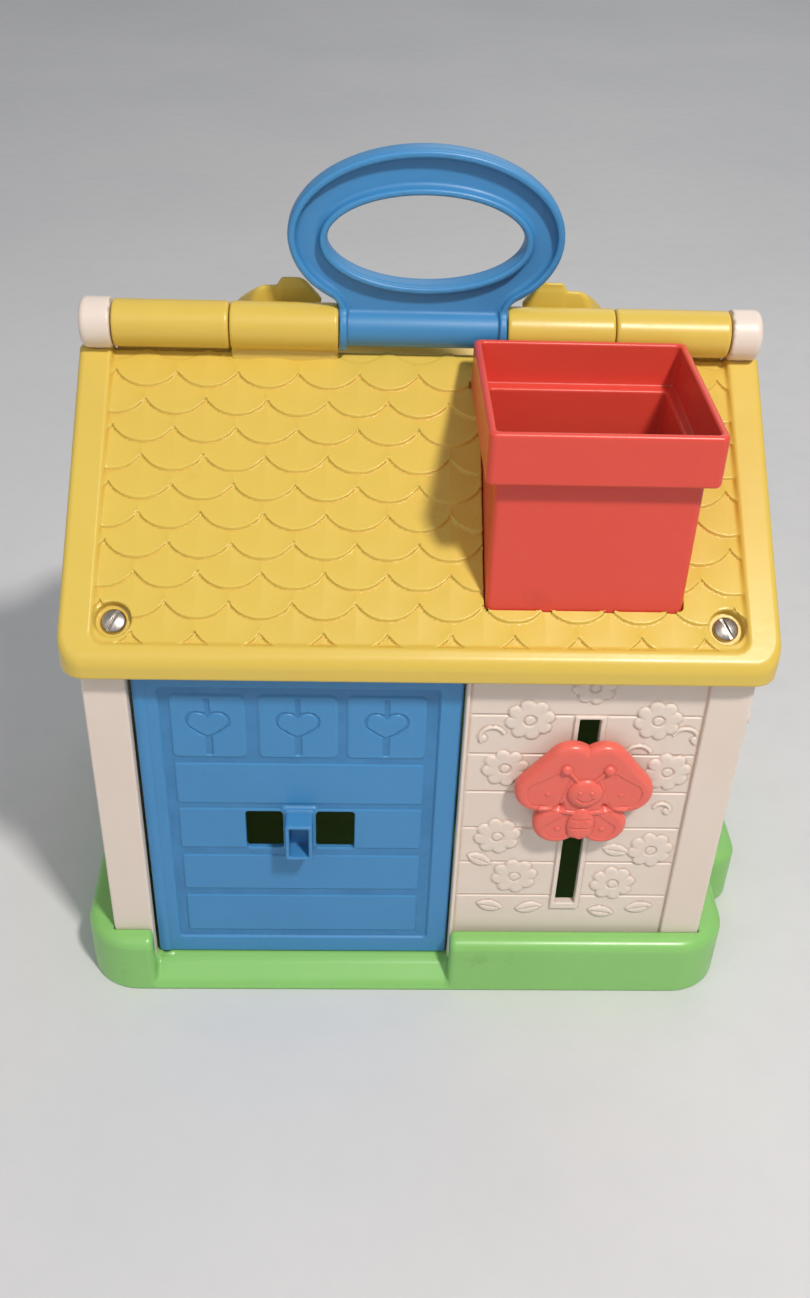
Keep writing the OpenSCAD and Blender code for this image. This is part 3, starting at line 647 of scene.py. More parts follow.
def gable_field(x, y, z):
    """The gable on the +X side, without its doorway."""
    front, back = PANEL_Y + WALL_T + 0.1, WALL_Y - WALL_T - 0.1
    shoulder = below_roof(TAB_Y, GABLE_GAP)
    outline = polygon(y, z, [(front, FLOOR_Z), (back, FLOOR_Z), (back, below_roof(back, GABLE_GAP)),
                             (TAB_Y, shoulder), (TAB_Y, RIDGE_Z), (-TAB_Y, RIDGE_Z),
                             (-TAB_Y, shoulder), (front, below_roof(front, GABLE_GAP))])
    groove = 0.45 * plank_grooves(z) * ramp(1.5 - np.abs(y) / 80 * 1.2) * (x > WALL_X - 1.3)
    wall = meet(outline, span(x + groove, GABLE_IN, WALL_X), 0.5)
    hub = from_rod(y, z)
    ear = meet(meet(hub - EAR[2], x - EAR[1], 2.2), EAR[0] - x, 0.6)
    wall = join(wall, ear, 1.0)
    for side in (-1, 1):
        post = meet(disc(x, y, (POST_X, side * POST_Y), 5), span(z, FLOOR_Z, 60), 0.6)
        wall = join(wall, post, 0.8)
    block = polygon(y, z, [(-82.2, 120), (-66, 132), (-66, below_roof(66, 10.4)),
                           (-82.2, below_roof(82.2, 10.4))])
    wall = join(wall, meet(block, span(x, SCREW_AT[0] - 2.7, GABLE_IN + 0.5), 0.5), 0.6)
    return cut(wall, meet(hub - ROD_BORE, x - EAR[1] + 1.5))


def right_gable_field(x, y, z):
    """The gable with the side door's opening, hinge lugs and stud."""
    wall = gable_field(x, y, z)
    low, high = DOORWAY[0][1], DOORWAY[1][1]
    wall = cut(wall, rect(y, z, *DOORWAY, 0.5), 0.5)
    for z0, z1 in ((low - 6, low), (high, high + 6)):
        lug = box((x, y, z), (107.4, SIDE_PIN[1] - 4, z0), (WALL_X, SIDE_PIN[1] + 4, z1), 0.5)
        wall = join(wall, lug, 0.3)
    wall = cut(wall, np.maximum(disc(x, y, SIDE_PIN, 1.3), span(z, 21.5, 131.0)))
    stud = meet(disc(y, z, (-79.5, 128.0), 3.0), x - WALL_X - 2.4, 1.0)
    return join(wall, np.maximum(stud, WALL_X - 1.0 - x), 0.5)


def gable_pieces():
    grid = (lines(97.5, EAR[1], 0.9, (108.5, 112.8, 0.5)),
            lines(-83, 85, 2.2, (-9.5, 9.5, 0.7), (-34, -26, 0.8), (23, 33, 0.8), (-83, -66, 1.0)),
            plank_lines(FLOOR_Z, RIDGE_Z + EAR[2], 2.0))
    solid("left_gable_shell", "house", ["left_gable"], CREAM,
          [(gable_field, grid)], mirrored_x)
    solid("right_gable_shell", "house", ["right_gable"], CREAM,
          [(right_gable_field, grid)])


# ---- roof ----

SHINGLE_PITCH = 20.8
ROW_PITCH = 10.45
FIRST_ROW = 6.8
SHINGLE_ROWS = 11
SCALLOP_R = 12.0
SHINGLE_T = 1.3
SHINGLE_STEP = 0.9  # how far along the slope a shingle's edge drops
FIELD_X = 106.5
BAND_S = 105.4
FIELD_N = -2.5  # lowest level of the shingled field
SHEET_N = -4.8  # underside of the roof sheet
VERGE_N = -12.0
CLEAR_R = 8.6  # room round a knuckle of the other half
FRONT_KNUCKLE = (28.8, 65.8)
REAR_KNUCKLE = (66.1, 105.6)
BEYOND = 200.0  # past every end of the roof


def scallop_edge(x, row):
    """Distance down the slope of the scalloped lower edge of a row of shingles."""
    half = SHINGLE_PITCH / 2
    shift = 11.3 + (half if row % 2 == 0 else 0)
    u = np.mod(x + shift, SHINGLE_PITCH) - half
    sag = np.sqrt(SCALLOP_R ** 2 - u ** 2) - math.sqrt(SCALLOP_R ** 2 - half ** 2)
    return FIRST_ROW + ROW_PITCH * row + sag


def shingles(x, s):
    """Height of the shingles: each row rises towards its scalloped edge, then drops to the next."""
    height, above = 0.0, scallop_edge(x, -1)
    for row in range(SHINGLE_ROWS):
        edge = scallop_edge(x, row)
        plate = SHINGLE_T * (0.2 + 0.8 * np.clip((s - above) / (edge - above), 0, 1))
        height = height + (plate - height) * ramp(0.5 + (s - above) / SHINGLE_STEP)
        above = edge
    return height


def slope_place(s, n):
    """y away from the ridge, and z, of a point on a slope."""
    return RAIL_Y + COS * s + SIN * n, RAIL_Z - SIN * s + COS * n


def roof_shell(x, s, n, clear_ranges):
    """Sheet, rails, verges and eave of one half, with room for the other half's knuckles."""
    y, z = slope_place(s, n)
    ax = np.abs(x)
    shell = meet(rect(ax, y, (-9, -60), (ROOF_X, EAVE_Y), 9), n, 2.4)
    hollow = meet(np.maximum(ax - ROOF_X + 5, y - EAVE_Y + 3), n - SHEET_N, 1.0)
    shell = cut(shell, hollow, 0.9)
    shell = meet(shell, np.maximum(VERGE_N - n, EAVE_Z - z), 1.2)
    field = FIELD_N + shingles(x, s)
    recess = meet(rect(ax, s, (-9, -60), (FIELD_X, BAND_S), 4.0), field - n, 1.1)
    shell = cut(shell, recess, 1.6)
    shell = meet(shell, 0.4 - y, 0.5)
    hub = from_rod(y, z)
    for x0, x1, r in clear_ranges:
        shell = cut(shell, np.maximum(hub - r, span(ax, x0, x1)), 0.4)
    tab = np.maximum(np.maximum(span(ax, GABLE_IN - 0.2, WALL_X + 0.2), y - 3), z - RIDGE_Z)
    return cut(shell, tab, 0.3)


def knuckle(x, s, n, x0, x1):
    """One barrel of the hinge, with the shoulder that joins it to the sheet."""
    y, z = slope_place(s, n)
    hub = from_rod(y, z)
    shoulder = polygon(y, z, [(3.0, RIDGE_Z), (3.0, RAIL_Z - 5), (0.8, RAIL_Z - 4.4),
                              (0.8, RIDGE_Z - 6)])
    barrel = meet(join(hub - KNUCKLE_R, shoulder, 0.5), span(x, x0, x1), 1.1)
    return cut(barrel, hub - ROD_BORE, 0.3)


def knuckle_parts(x0, x1):
    """Fields and grids of the two knuckles of a roof half, left and right."""
    parts = []
    for low, high in ((x0, x1), (-x1, -x0)):
        def field(x, s, n, low=low, high=high):
            return knuckle(x, s, n, low, high)
        parts.append((field, (lines(low, high, 1.2, (low, low + 2.2, 0.5), (high - 2.2, high, 0.5)),
                              lines(-17, 8, 0.6), lines(-7, 14, 0.6))))
    return parts


def front_roof_field(x, s, n):
    """Front half: the shell with the chimney's opening and the two screw recesses."""
    y, z = slope_place(s, n)
    shell = roof_shell(x, s, n, [(0, FRONT_KNUCKLE[0], CLEAR_R), (66.0, BEYOND, CLEAR_R)])
    stack = rect(x, y, (CHIMNEY_STACK[0] - 0.3, 13.3), (CHIMNEY_STACK[1] + 0.3, 75.3), 1.5)
    notch = np.maximum(span(x, CHIMNEY_LOW[0] - 0.3, CHIMNEY_HIGH[0] + 0.3),
                       np.maximum(9.1 - y, 215.9 - z))
    shell = cut(shell, np.minimum(stack, notch), 0.3)
    seat = disc(np.abs(x), s, SCREW_AT, 8.0)
    shell = join(shell, meet(seat, span(n, -7.6, FIELD_N), 0.6), 0.5)
    shell = cut(shell, meet(disc(np.abs(x), s, SCREW_AT, 6.0), -4.95 - n, 0.5), 0.7)
    return cut(shell, disc(np.abs(x), s, SCREW_AT, 2.1), 0.2)


HOLE_S = 29.0
ROUND_HOLE = (-23.5, 20.0)  # x and radius
SQUARE_HOLE = (23.5, 18.0)  # x and half width


def rear_roof_field(x, s, n):
    """Rear half: the shell with the round and square holes and the window under the triangle."""
    shell = roof_shell(x, s, n, [(0, 65.95, CLEAR_R), (105.75, BEYOND, 9.2)])
    holes = disc(x, s, (ROUND_HOLE[0], HOLE_S), ROUND_HOLE[1])
    middle, half = SQUARE_HOLE
    square = rect(x, s, (middle - half, HOLE_S - half), (middle + half, HOLE_S + half), 1.0)
    holes = np.minimum(holes, square)
    inside_drum = disc(x, s, (0, DRUM_S), DRUM_R - 3.5)
    window = np.maximum(rect(x, s, (-27, 62), (27, 104), 2.0), inside_drum)
    holes = np.minimum(holes, window)
    for bx, bs in DRUM_BOSSES:
        holes = np.minimum(holes, disc(np.abs(x), s, (bx, bs), 1.9))
    return cut(shell, holes, 0.5)


def roof_grid():
    return (lines(-ROOF_X, ROOF_X, 0.82), lines(-2, 118, 0.76, (104, 118, 0.65)),
            lines(VERGE_N, 0.3, 1.2, (-3.1, 0.3, 0.42), (-6, -3.1, 0.8)))


def roof_pieces():
    solid("front_roof_shell", "house", ["front_roof"], YELLOW,
          [(front_roof_field, roof_grid())] + knuckle_parts(*FRONT_KNUCKLE), on_front_slope)
    solid("rear_roof_shell", "lid", ["rear_roof"], YELLOW,
          [(rear_roof_field, roof_grid())] + knuckle_parts(*REAR_KNUCKLE), on_rear_slope)


SCREW_HEAD_R = 4.2
SCREW_SHANK_R = 1.7
SCREW_SLOT_TURN = math.radians(65)
SCREW_PITCH = 1.3
SCREW_ROOM = 4.6  # half width of the grid round a screw


def roof_screw_field(x, s, n):
    """One slotted pan-head screw, drawn round its own axis."""
    u, v = x - SCREW_AT[0], s - SCREW_AT[1]
    radial = np.sqrt(u ** 2 + v ** 2)
    dome = np.sqrt(radial ** 2 + (n + 10.6) ** 2) - 8.2
    head = meet(meet(radial - SCREW_HEAD_R, dome, 0.6), -4.98 - n, 0.15)
    across = u * math.sin(SCREW_SLOT_TURN) - v * math.cos(SCREW_SLOT_TURN)
    head = cut(head, np.maximum(np.abs(across) - 0.6, -3.5 - n), 0.12)
    thread = 0.12 * np.cos(n * math.tau / SCREW_PITCH)
    shank = meet(radial - SCREW_SHANK_R - thread, span(n, -19.8, -4.5), 0.3)
    return join(head, shank, 0.2)


def roof_screw_pieces():
    def mirrored(x, s, n):
        return roof_screw_field(-x, s, n)
    parts = []
    for side, field in ((1, roof_screw_field), (-1, mirrored)):
        ends = sorted(side * (SCREW_AT[0] + room) for room in (-SCREW_ROOM, SCREW_ROOM))
        parts.append((field, (lines(*ends, 0.24),
                              lines(SCREW_AT[1] - SCREW_ROOM, SCREW_AT[1] + SCREW_ROOM, 0.24),
                              lines(-20, -2, 0.5, (-5.4, -2, 0.2)))))
    solid("roof_screw_heads", "house", ["roof_screws"], STEEL, parts, on_front_slope)


# ---- sorter drum ----

DRUM_TOP = 19.4
RIM_TOP = 21.6
CRADLE_X = 47.5
CRADLE_S = 57.0
CRADLE_RIM = 2.2
DRUM_BASE = -1.7
DRUM_WALL = 3.0
TRIANGLE_S, TRIANGLE_R = 78.0, 22.0  # its middle down the slope, and its corners' radius


def drum_field(x, s, n):
    """Hollow drum on the rear slope, with the handle's cradle, the triangle and four bosses."""
    y, z = slope_place(s, n)
    round_wall = disc(x, s, (0, DRUM_S), DRUM_R)
    ridge_face = 9 - y
    body = meet(meet(round_wall, n - DRUM_TOP, 2.6), ridge_face, 1.6)
    hollow = np.maximum(round_wall + DRUM_WALL, n - DRUM_TOP + DRUM_WALL)
    body = cut(body, np.maximum(hollow, ridge_face + DRUM_WALL), 0.6)
    rim_x, rim_s = CRADLE_X + CRADLE_RIM, CRADLE_S + CRADLE_RIM
    rim_plan = rect(x, s, (-rim_x, -60), (rim_x, rim_s), 5.0)
    rim = meet(meet(rim_plan, n - RIM_TOP, 2.0), np.maximum(round_wall, ridge_face), 1.2)
    body = join(body, rim, 1.2)
    for bx, bs in DRUM_BOSSES:
        body = join(body, np.maximum(disc(np.abs(x), s, (bx, bs), 4.5), n - DRUM_TOP + 1), 0.6)
    cradle = meet(rect(x, s, (-CRADLE_X, -60), (CRADLE_X, CRADLE_S), 3.0), 12 - y)
    body = cut(body, cradle, 1.6)
    half = [(40.5, -8), (40.5, 1.5), (36, 5), (35, 14.5), (42.4, 23), (42.4, 40)]
    outline = half + [(-u, v) for u, v in half[::-1]]
    way_in = polygon(x, z, [(u, RAIL_Z + v) for u, v in outline])
    body = cut(body, np.maximum(way_in, y - 20), 1.0)
    turns = [math.radians(a) for a in (90, 210, 330)]
    corners = [(TRIANGLE_R * math.cos(a), TRIANGLE_S + TRIANGLE_R * math.sin(a)) for a in turns]
    body = cut(body, polygon(x, s, corners), 0.8)
    under = box((x, s, n), (-30, CRADLE_S + 3, -20), (30, CRADLE_S + 39.4, DRUM_TOP - DRUM_WALL), 1.0)
    body = cut(body, under, 0.5)
    for bx, bs in DRUM_BOSSES:
        body = cut(body, np.maximum(disc(np.abs(x), s, (bx, bs), 1.65), n - 11))
    return meet(body, DRUM_BASE - n, 0.4)


def drum_piece():
    grid = (lines(-DRUM_R, DRUM_R, 0.95), lines(-12, DRUM_S + DRUM_R, 0.95),
            lines(DRUM_BASE, RIM_TOP + 0.6, 1.1, (15, RIM_TOP + 0.6, 0.7)))
    solid("sorter_drum_shell", "lid", ["sorter_drum"], YELLOW,
          [(drum_field, grid)], on_rear_slope)


# ---- chimney ----

RIM_Z = CHIMNEY_HIGH[2] - 17.6
CHIMNEY_T = 2.5


def chimney_field(x, y, z):
    """Open stack that widens into a rim, with a ledge inside, and ends on the roof's slope."""
    low, high = CHIMNEY_LOW, CHIMNEY_HIGH
    rim = rect(x, y, (low[0], low[1]), (high[0], high[1]), 2.6)
    rim = meet(rim, span(z, RIM_Z, high[2]), 1.3)
    (x0, x1), (y0, y1) = CHIMNEY_STACK, STACK_Y
    stack = rect(x, y, (x0, y0), (x1, y1), 2.2)
    slope_n = SIN * (-y - RAIL_Y) + COS * (z - RAIL_Z)
    stack = meet(meet(stack, z - RIM_Z - 1), -12 - slope_n, 0.6)
    body = join(rim, stack, 0.9)
    t = CHIMNEY_T
    mouth = rect(x, y, (low[0] + t, low[1] + t), (high[0] - t, high[1] - t), 1.6)
    body = cut(body, meet(mouth, RIM_Z + t - z, 0.8), 1.0)
    return cut(body, rect(x, y, (x0 + t, y0 + t), (x1 - t, y1 - t), 1.4), 0.9)


def chimney_piece():
    corner = [(CHIMNEY_LOW[0] - 1, 25, 0.55), (82, 91, 0.55)]
    deep = [(CHIMNEY_LOW[1] - 1, -71, 0.55), (-18, -8, 0.55)]
    grid = (lines(CHIMNEY_LOW[0], CHIMNEY_HIGH[0], 1.6, *corner),
            lines(CHIMNEY_LOW[1], CHIMNEY_HIGH[1], 1.6, *deep),
            lines(CHIMNEY_LOW[2], CHIMNEY_HIGH[2], 0.9, (RIM_Z - 2, RIM_Z + 5, 0.5),
                  (229, 235, 0.5)))
    solid("chimney_shell", "house", ["chimney"], RED, [(chimney_field, grid)])


# ---- carry handle ----

RING = (0.0, RIDGE_Z + 32.2)
GRIP = (0.0, RIDGE_Z + 31.3)
RING_A, RING_B = 45.5, 28.5
GRIP_A, GRIP_B = 33.0, 15.3
HANDLE_T = 10.0
NECK_X = 28.5


def handle_field(x, y, z):
    """Oval ring round the finger opening, with a thin web, on a neck that ends in the barrel."""
    neck = rect(x, z, (-NECK_X, RIDGE_Z - 20), (NECK_X, RIDGE_Z + 14))
    outer = join(ellipse(x, z, RING, RING_A, RING_B), neck, 2.5)
    inner = ellipse(x, z, GRIP, GRIP_A, GRIP_B)
    half = HANDLE_T / 2 - ramp((RIDGE_Z + 17 - z) / 6)
    rim = meet(np.abs(outer + 1.2) - 1.2, np.abs(y) - half, 0.95)
    lip = meet(np.abs(inner - 1.1) - 1.1, np.abs(y) - HANDLE_T / 2, 0.9)
    web = np.maximum(np.maximum(outer + 0.5, 0.5 - inner), np.abs(y) - 1.5)
    body = join(join(rim, web, 1.8), lip, 1.8)
    body = np.maximum(body, RIDGE_Z - z)
    hub = from_rod(y, z)
    barrel = meet(hub - 6.4, np.abs(x) - NECK_X + 0.5, 0.4)
    flange = meet(hub - KNUCKLE_R, span(np.abs(x), NECK_X - 2.6, NECK_X), 0.7)
    body = join(body, join(barrel, flange, 0.5), 1.2)
    return cut(body, hub - ROD_BORE, 0.3)


def handle_piece():
    grid = (lines(HANDLE_LOW[0], HANDLE_HIGH[0], 0.8, (-30, -23, 0.5), (23, 30, 0.5)),
            lines(HANDLE_LOW[1], HANDLE_HIGH[1], 0.6), lines(HANDLE_LOW[2], HANDLE_HIGH[2], 0.7))
    solid("carry_handle_shell", "handle", ["carry_handle"], BLUE,
          [(handle_field, grid)])


# ---- doors ----

DOOR_FACE = -83.6
SQUARES = [(-84.1, -59.1), (-54.4, -27.6), (-24.0, 2.7)]
SQUARE_Z = (109.4, 136.5)
BOARDS = [(22.2, 41.0), (44.7, 62.0), (66.1, 85.0), (87.9, 106.3)]
WINDOWS = [(-60.4, -46.9), (-35.2, -21.2)]
WINDOW_Z = (65.8, 84.0)
PULL_X, PULL_Z = -41.0, 76.6
PULL_W, PULL_H = 9.7, 16.4
SIDE_PULL_Y, SIDE_PULL_Z = -20.0, 76.0
SIDE_BOARDS = [(36.5, 60.0), (63.0, 89.0), (92.0, 116.0)]


def pull(u, v, out, reach):
    """Box-shaped pull, open at the front: u across, v up, out from the door's face."""
    def outline(grow, r):
        w, h = PULL_W / 2 + grow, PULL_H / 2 + grow
        return rect(u, v, (-w, -h), (w, h), r)
    body = meet(outline(0, 1.0), out - reach, 0.6)
    body = join(body, meet(outline(0.6, 1.4), out - 0.6, 0.4), 0.4)
    return cut(body, meet(outline(-1.4, 0.5), 1.2 - out, 0.4), 0.35)


HEART_HALF = [(0, 118.2), (3.6, 120.3), (6.9, 123.9), (3.5, 127.5), (-3.0, 126.5), (-3.0, 121)]


def door_relief(x, z):
    """Height of the garage door's face: frame, boards, and squares with hearts on stems."""
    sunk = rect(x, z, (-87.8, 18.6), (7.2, 140.0), 1.5)
    height = -plateau(sunk, 0.9, 1.1)
    for z0, z1 in BOARDS:
        board = rect(x, z, (SQUARES[0][0], z0), (SQUARES[-1][1], z1), 0.8)
        height = height + plateau(board, 0.45, 0.9)
    for x0, x1 in SQUARES:
        middle = (x0 + x1) / 2
        tile = rect(x, z, (x0, SQUARE_Z[0]), (x1, SQUARE_Z[1]), 2.0)
        u = np.abs(x - middle)
        heart = join(disc(u, z, (3.5, 125.4), 3.7), polygon(u, z, HEART_HALF), 0.6)
        stem = np.minimum(rect(u, z, (-1, 110.8), (0.75, 119), 0.3),
                          rect(u, z, (-1, 125.6), (0.45, 135.0), 0.2))
        drawn = np.minimum(np.abs(heart), np.where(heart > 0, np.maximum(stem, 0), 9.0))
        height = height + plateau(tile, 0.45, 0.9) - 0.42 * ramp(1.5 - drawn / 0.45)
    return height


def garage_field(x, y, z):
    """Garage door: embossed leaf, hinge barrel, pull, two windows and the pin's bore."""
    top, bottom = GARAGE_HIGH[2], GARAGE_LOW[2]
    face = rect(x, z, (GARAGE_LOW[0] + 0.1, bottom), (GARAGE_HIGH[0], top), 1.2)
    near = rect(x, z, (PULL_X - 6.0, PULL_Z - 9.4), (PULL_X + 6.0, PULL_Z + 9.4), 1.0)
    relief = door_relief(x, z) * ramp(0.2 + near / 1.0)
    plate = meet(face, span(y + np.where(y < -82.1, relief, 0.0), DOOR_FACE, DOOR_FACE + 3.0), 0.7)
    barrel = meet(disc(x, y, GARAGE_PIN, 2.7), span(z, bottom, top), 0.5)
    plate = join(plate, barrel, 0.5)
    grip = pull(x - PULL_X, z - PULL_Z, DOOR_FACE - y, 8.4)
    plate = join(plate, np.maximum(grip, y + 82.5), 0.3)
    for x0, x1 in WINDOWS:
        plate = cut(plate, rect(x, z, (x0, WINDOW_Z[0]), (x1, WINDOW_Z[1]), 1.4), 0.35)
    return cut(plate, disc(x, y, GARAGE_PIN, PIN_BORE), 0.1)


def garage_piece():
    board_edges = [(edge - 1, edge + 1, 0.35) for board in BOARDS for edge in board]
    grid = (lines(GARAGE_LOW[0], GARAGE_HIGH[0], 1.2, (-85.6, 4.2, 0.6), (-97, -88.5, 0.5),
                  (4.5, 7.5, 0.45)),
            lines(GARAGE_LOW[1], GARAGE_HIGH[1], 0.8, (-84.6, -82.0, 0.3)),
            lines(GARAGE_LOW[2], GARAGE_HIGH[2], 0.9, (107.5, 141.5, 0.5), *board_edges,
                  (17.5, 19.7, 0.35), (66, 86.5, 0.5)))
    solid("garage_door_leaf", "garage_leaf", ["garage_door"], BLUE,
          [(garage_field, grid)])


def side_door_field(x, y, z):
    """Side door: panelled leaf, hinge barrel, pull and the pin's bore."""
    low, high = SIDE_LOW[2], SIDE_HIGH[2]
    face = rect(y, z, (-29.9, low), (SIDE_PIN[1], high), 1.2)
    sunk = rect(y, z, (-23.5, low + 7), (19.5, high - 7), 1.5)
    relief = -plateau(sunk, 1.0, 0.9)
    for z0, z1 in SIDE_BOARDS:
        relief = relief + plateau(rect(y, z, (-21.0, z0), (17.0, z1), 0.8), 0.55, 0.9)
    near = rect(y, z, (-26.0, 66.8), (-14.0, 85.2), 1.0)
    relief = relief * ramp(0.2 + near / 1.0)
    plate = meet(face, span(x - np.where(x > 110.6, relief, 0.0), 109.6, WALL_X), 0.6)
    plate = join(plate, meet(disc(x, y, SIDE_PIN, 2.4), span(z, low, high), 0.5), 0.5)
    grip = pull(y - SIDE_PULL_Y, z - SIDE_PULL_Z, x - WALL_X, 6.0)
    plate = join(plate, np.maximum(grip, 111 - x), 0.3)
    return cut(plate, disc(x, y, SIDE_PIN, 1.35), 0.1)


def side_door_piece():
    grid = (lines(SIDE_LOW[0], SIDE_HIGH[0], 0.6, (110.3, 112.6, 0.3)),
            lines(SIDE_LOW[1], SIDE_HIGH[1], 0.7), lines(SIDE_LOW[2], SIDE_HIGH[2], 0.7))
    solid("side_door_leaf", "side_leaf", ["side_door"], BLUE,
          [(side_door_field, grid)])


# ---- butterfly ----

FLY_BACK = -87.6
FLY_FACE = -92.4
WING_TOP = (5.6, 12.9, 9.0)  # x, height and radius of the upper wing's top
WING_SIDE = (15.2, 0.8, 9.1)
WING_LOW = (8.2, -14.6, 8.5)


def wings(u, v):
    """Outlines of the upper and the lower wing, for u = |x|."""
    return (rod(u, v, WING_TOP[:2], WING_SIDE[:2], WING_TOP[2], WING_SIDE[2]),
            disc(u, v, WING_LOW[:2], WING_LOW[2]))


def butterfly_face(u, v):
    """Height of the butterfly's relief over its flat face, for u = |x|."""
    upper, lower = wings(u, v)
    inner = np.maximum(rod(u, v, (9.0, 7.0), (13.6, 0.6), 3.0, 6.2), -v - 4.6)
    height = -plateau(inner, 1.4, 1.3)
    swirl = np.abs(rod(u, v, (9.6, 6.6), (13.4, 1.2), 1.4, 3.6))
    height = height + 0.7 * ramp(1.5 - swirl / 0.7) * (inner < 0)
    height = height + pillow(disc(u, v, (12.7, 0.6), 1.7), 1.5, 1.7)
    drop = rod(u, v, (5.8, -10.4), (8.0, -15.8), 1.0, 4.3)
    height = height - plateau(drop, 1.1, 1.4) + pillow(disc(u, v, (7.9, -15.6), 1.5), 1.3, 1.5)
    height = height + 0.35 * ramp(1.4 - np.abs(disc(u, v, (7.9, -15.6), 2.7)) / 0.5)
    ledge = rod(u, v, (3.0, -7.6), (15.0, -5.8), 0.9)
    height = height + pillow(ledge, 0.8, 1.0)
    seam = np.maximum(np.abs(lower), upper)
    height = height - 0.3 * ramp(1.3 - np.abs(seam) / 0.5)
    feeler = rod(u, v, (2.6, 6.4), (6.8, 11.6), 0.7)
    knob = disc(u, v, (7.4, 12.2), 2.0)
    height = height + np.maximum(pillow(feeler, 0.7, 0.8), pillow(knob, 1.7, 2.0))
    head = disc(u, v, (0, 1.6), 6.3)
    trunk = ellipse(u, v, (0, -13.5), 4.9, 8.0)
    rings = 0.3 * ramp(1.3 - np.abs(np.mod(v + 12.2, 4.2) - 2.1) / 0.4)
    body = np.maximum(pillow(trunk, 1.8, 3.6) - rings * (trunk < -1), pillow(head, 2.6, 5.0))
    smile = np.maximum(np.abs(disc(u, v, (0, 2.2), 3.2)) - 0.25, v - 0.6)
    body = body - 0.35 * ramp(1.2 - np.maximum(smile, 0) / 0.4) * (head < -1.5)
    body = body + pillow(disc(u, v, (2.1, 3.3), 0.8), 0.45, 0.8)
    return np.maximum(height, body - 0.3)


def butterfly_field(x, y, z):
    """Embossed butterfly on the square post that runs in the panel's slot."""
    u, v = np.abs(x - SLOT_X), z - BUTTERFLY_Z
    upper, lower = wings(u, v)
    waist = rod(u, v, (0, 4.0), (0, -12.0), 9.0, 6.0)
    middle = join(ellipse(u, v, (0, -4.0), 4.9, 17.0), waist, 1.0)
    outline = join(join(upper, lower, 1.5), middle, 1.5)
    height = butterfly_face(u, v)
    body = meet(outline, FLY_FACE - height * ramp(-outline / 2.0) - y, 2.6)
    body = meet(body, y - FLY_BACK, 0.9)
    post = box((x, y, z), (SLOT_X - 3.35, FLY_BACK - 1, BUTTERFLY_Z - 6),
               (SLOT_X + 3.35, -82.1, BUTTERFLY_Z + 6), 0.3)
    return cut(join(body, post, 0.3), np.maximum(disc(x, z, (SLOT_X, BUTTERFLY_Z), 1.45), -91 - y))


def butterfly_piece():
    grid = (lines(SLOT_X - 24.6, SLOT_X + 24.6, 0.36), lines(-95.6, -82, 0.36),
            lines(BUTTERFLY_Z - 24, BUTTERFLY_Z + 23.3, 0.36))
    solid("butterfly_body", "slider", ["butterfly"], CORAL,
          [(butterfly_field, grid)])


# ---- CAD pieces that keep their shape ----

KEPT_STEEL = ("hinge_rod", "base_screws", "drum_screws", "chimney_screws", "garage_door_pin",
              "side_door_pin", "butterfly_screw")
KEPT_CREAM = ("chimney_frame", "butterfly_slider")


def finish_cad_pieces(nodes, material):
    for node in nodes:
        piece = frame["nodes"][node]
        piece.data.materials.clear()
        piece.data.materials.append(material)


# ---- floor, light and camera ----

FLOOR_HALF = 30.0  # metres


def floor():
    """Pale table top, large enough to fill the picture."""
    mesh = bpy.data.meshes.new("floor")
    corners = [(x * FLOOR_HALF, y * FLOOR_HALF, 0) for x, y in ((-1, -1), (1, -1), (1, 1), (-1, 1))]
    mesh.from_pydata(corners, [], [(0, 1, 2, 3)])
    n = Nodes("pale_table")
    cloud = n.remap(n.noise(3.0, 4), 0.35, 0.7)
    speck = n.remap(n.noise(60.0, 4), 0.45, 0.7)
    base = n.mix(cloud, linear(220, 219, 220), linear(212, 212, 214))
    n.link("Base Color", n.mix(n.maths("MULTIPLY", speck, 0.15), base, linear(200, 201, 204)))
    n.link("Roughness", n.remap(speck, 0, 1, 0.5, 0.62))
    mesh.materials.append(n.material)
    table = bpy.data.objects.new("floor", mesh)
    bpy.context.scene.collection.objects.link(table)


AIM = Vector((0.0, 0.0, 0.12))
SKY = (0.93, 0.96, 1.0, 1)
SKY_STRENGTH = 0.31


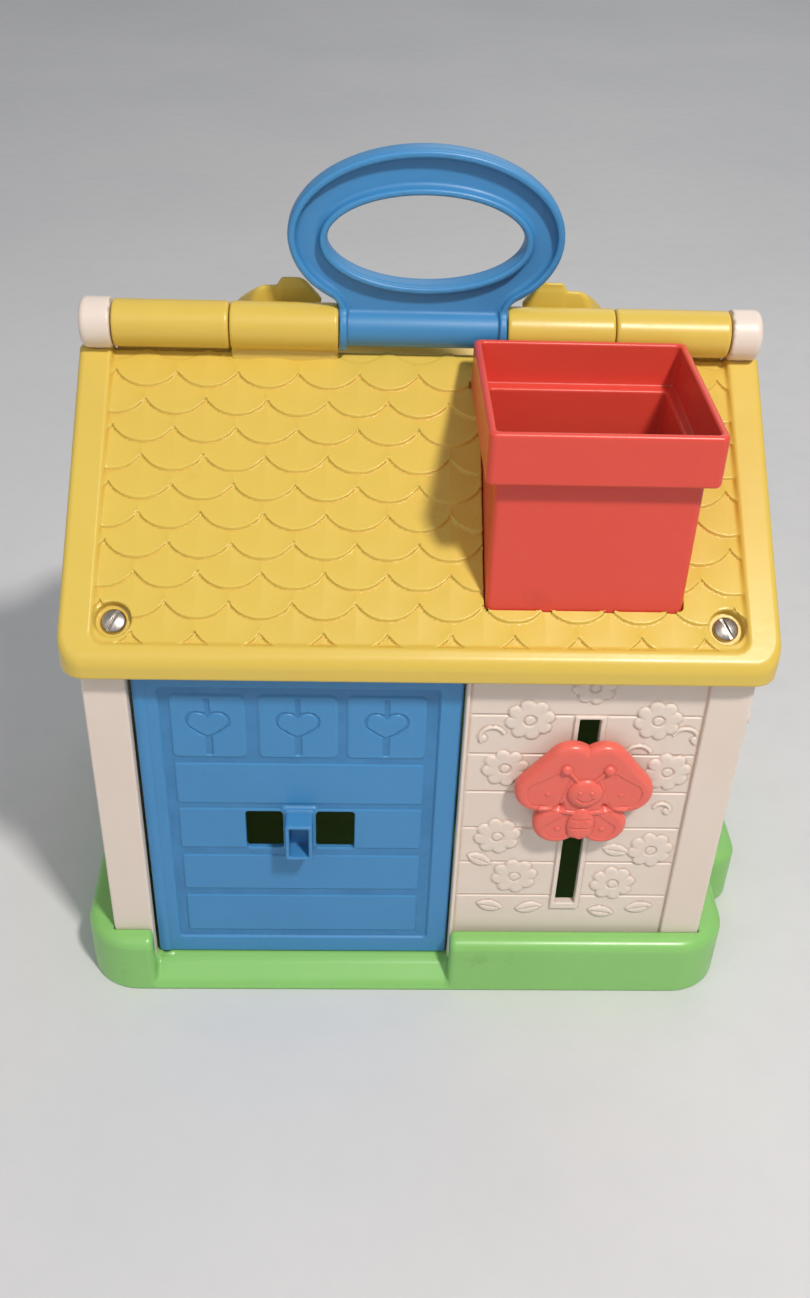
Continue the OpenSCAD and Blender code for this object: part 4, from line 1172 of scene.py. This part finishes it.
def area_light(name, direction, distance, size, energy, colour):
    """Square lamp that shines on the toy from a direction."""
    direction = Vector(direction)
    data = bpy.data.lights.new(name, "AREA")
    data.size = size
    data.energy = energy
    data.color = colour
    lamp = bpy.data.objects.new(name, data)
    lamp.location = AIM + direction.normalized() * distance
    lamp.rotation_mode = "QUATERNION"
    lamp.rotation_quaternion = direction.to_track_quat("Z", "Y")
    bpy.context.scene.collection.objects.link(lamp)


def lights():
    area_light("key", (0.28, -0.51, 0.81), 1.6, 0.14, 19.0, (1.0, 0.96, 0.9))
    area_light("fill", (-0.6, -0.9, 0.9), 2.2, 1.6, 6.5, (0.95, 0.98, 1.0))
    area_light("back", (0.5, 1.2, 0.9), 2.4, 1.8, 7, (1.0, 1.0, 1.0))
    world = bpy.data.worlds.new("studio")
    bpy.context.scene.world = world
    world.use_nodes = True
    world.node_tree.nodes["Background"].inputs["Color"].default_value = SKY
    world.node_tree.nodes["Background"].inputs["Strength"].default_value = SKY_STRENGTH


CAMERA_TURN = (2.301, 35.955, -2.081)  # degrees: to the right, down, rolled
CAMERA_AT = (-0.02197, -0.43325, 0.41091)  # metres
LENS = 36.68
LENS_SHIFT = 0.0057


def camera():
    """Camera in front of the toy and above it, looking down at the roof and the front."""
    yaw, pitch, roll = (math.radians(a) for a in CAMERA_TURN)
    forward = Vector((math.sin(yaw) * math.cos(pitch), math.cos(yaw) * math.cos(pitch),
                      -math.sin(pitch)))
    level = Vector((math.cos(yaw), -math.sin(yaw), 0))
    down = forward.cross(level)
    right = math.cos(roll) * level + math.sin(roll) * down
    up = math.sin(roll) * level - math.cos(roll) * down
    data = bpy.data.cameras.new("camera")
    data.lens = LENS
    data.shift_x = LENS_SHIFT
    data.clip_start = 0.02
    data.clip_end = 60
    eye = bpy.data.objects.new("camera", data)
    rows = [(right[i], up[i], -forward[i], CAMERA_AT[i]) for i in range(3)]
    eye.matrix_world = Matrix(rows + [(0, 0, 0, 1)])
    bpy.context.scene.collection.objects.link(eye)
    bpy.context.scene.camera = eye


camera()
lights()
floor()
base_piece()
front_wall_piece()
rear_wall_piece()
gable_pieces()
roof_pieces()
roof_screw_pieces()
drum_piece()
chimney_piece()
handle_piece()
garage_piece()
side_door_piece()
butterfly_piece()
finish_cad_pieces(KEPT_STEEL, STEEL)
finish_cad_pieces(KEPT_CREAM, CREAM)
bpy.context.scene.view_settings.view_transform = "Standard"
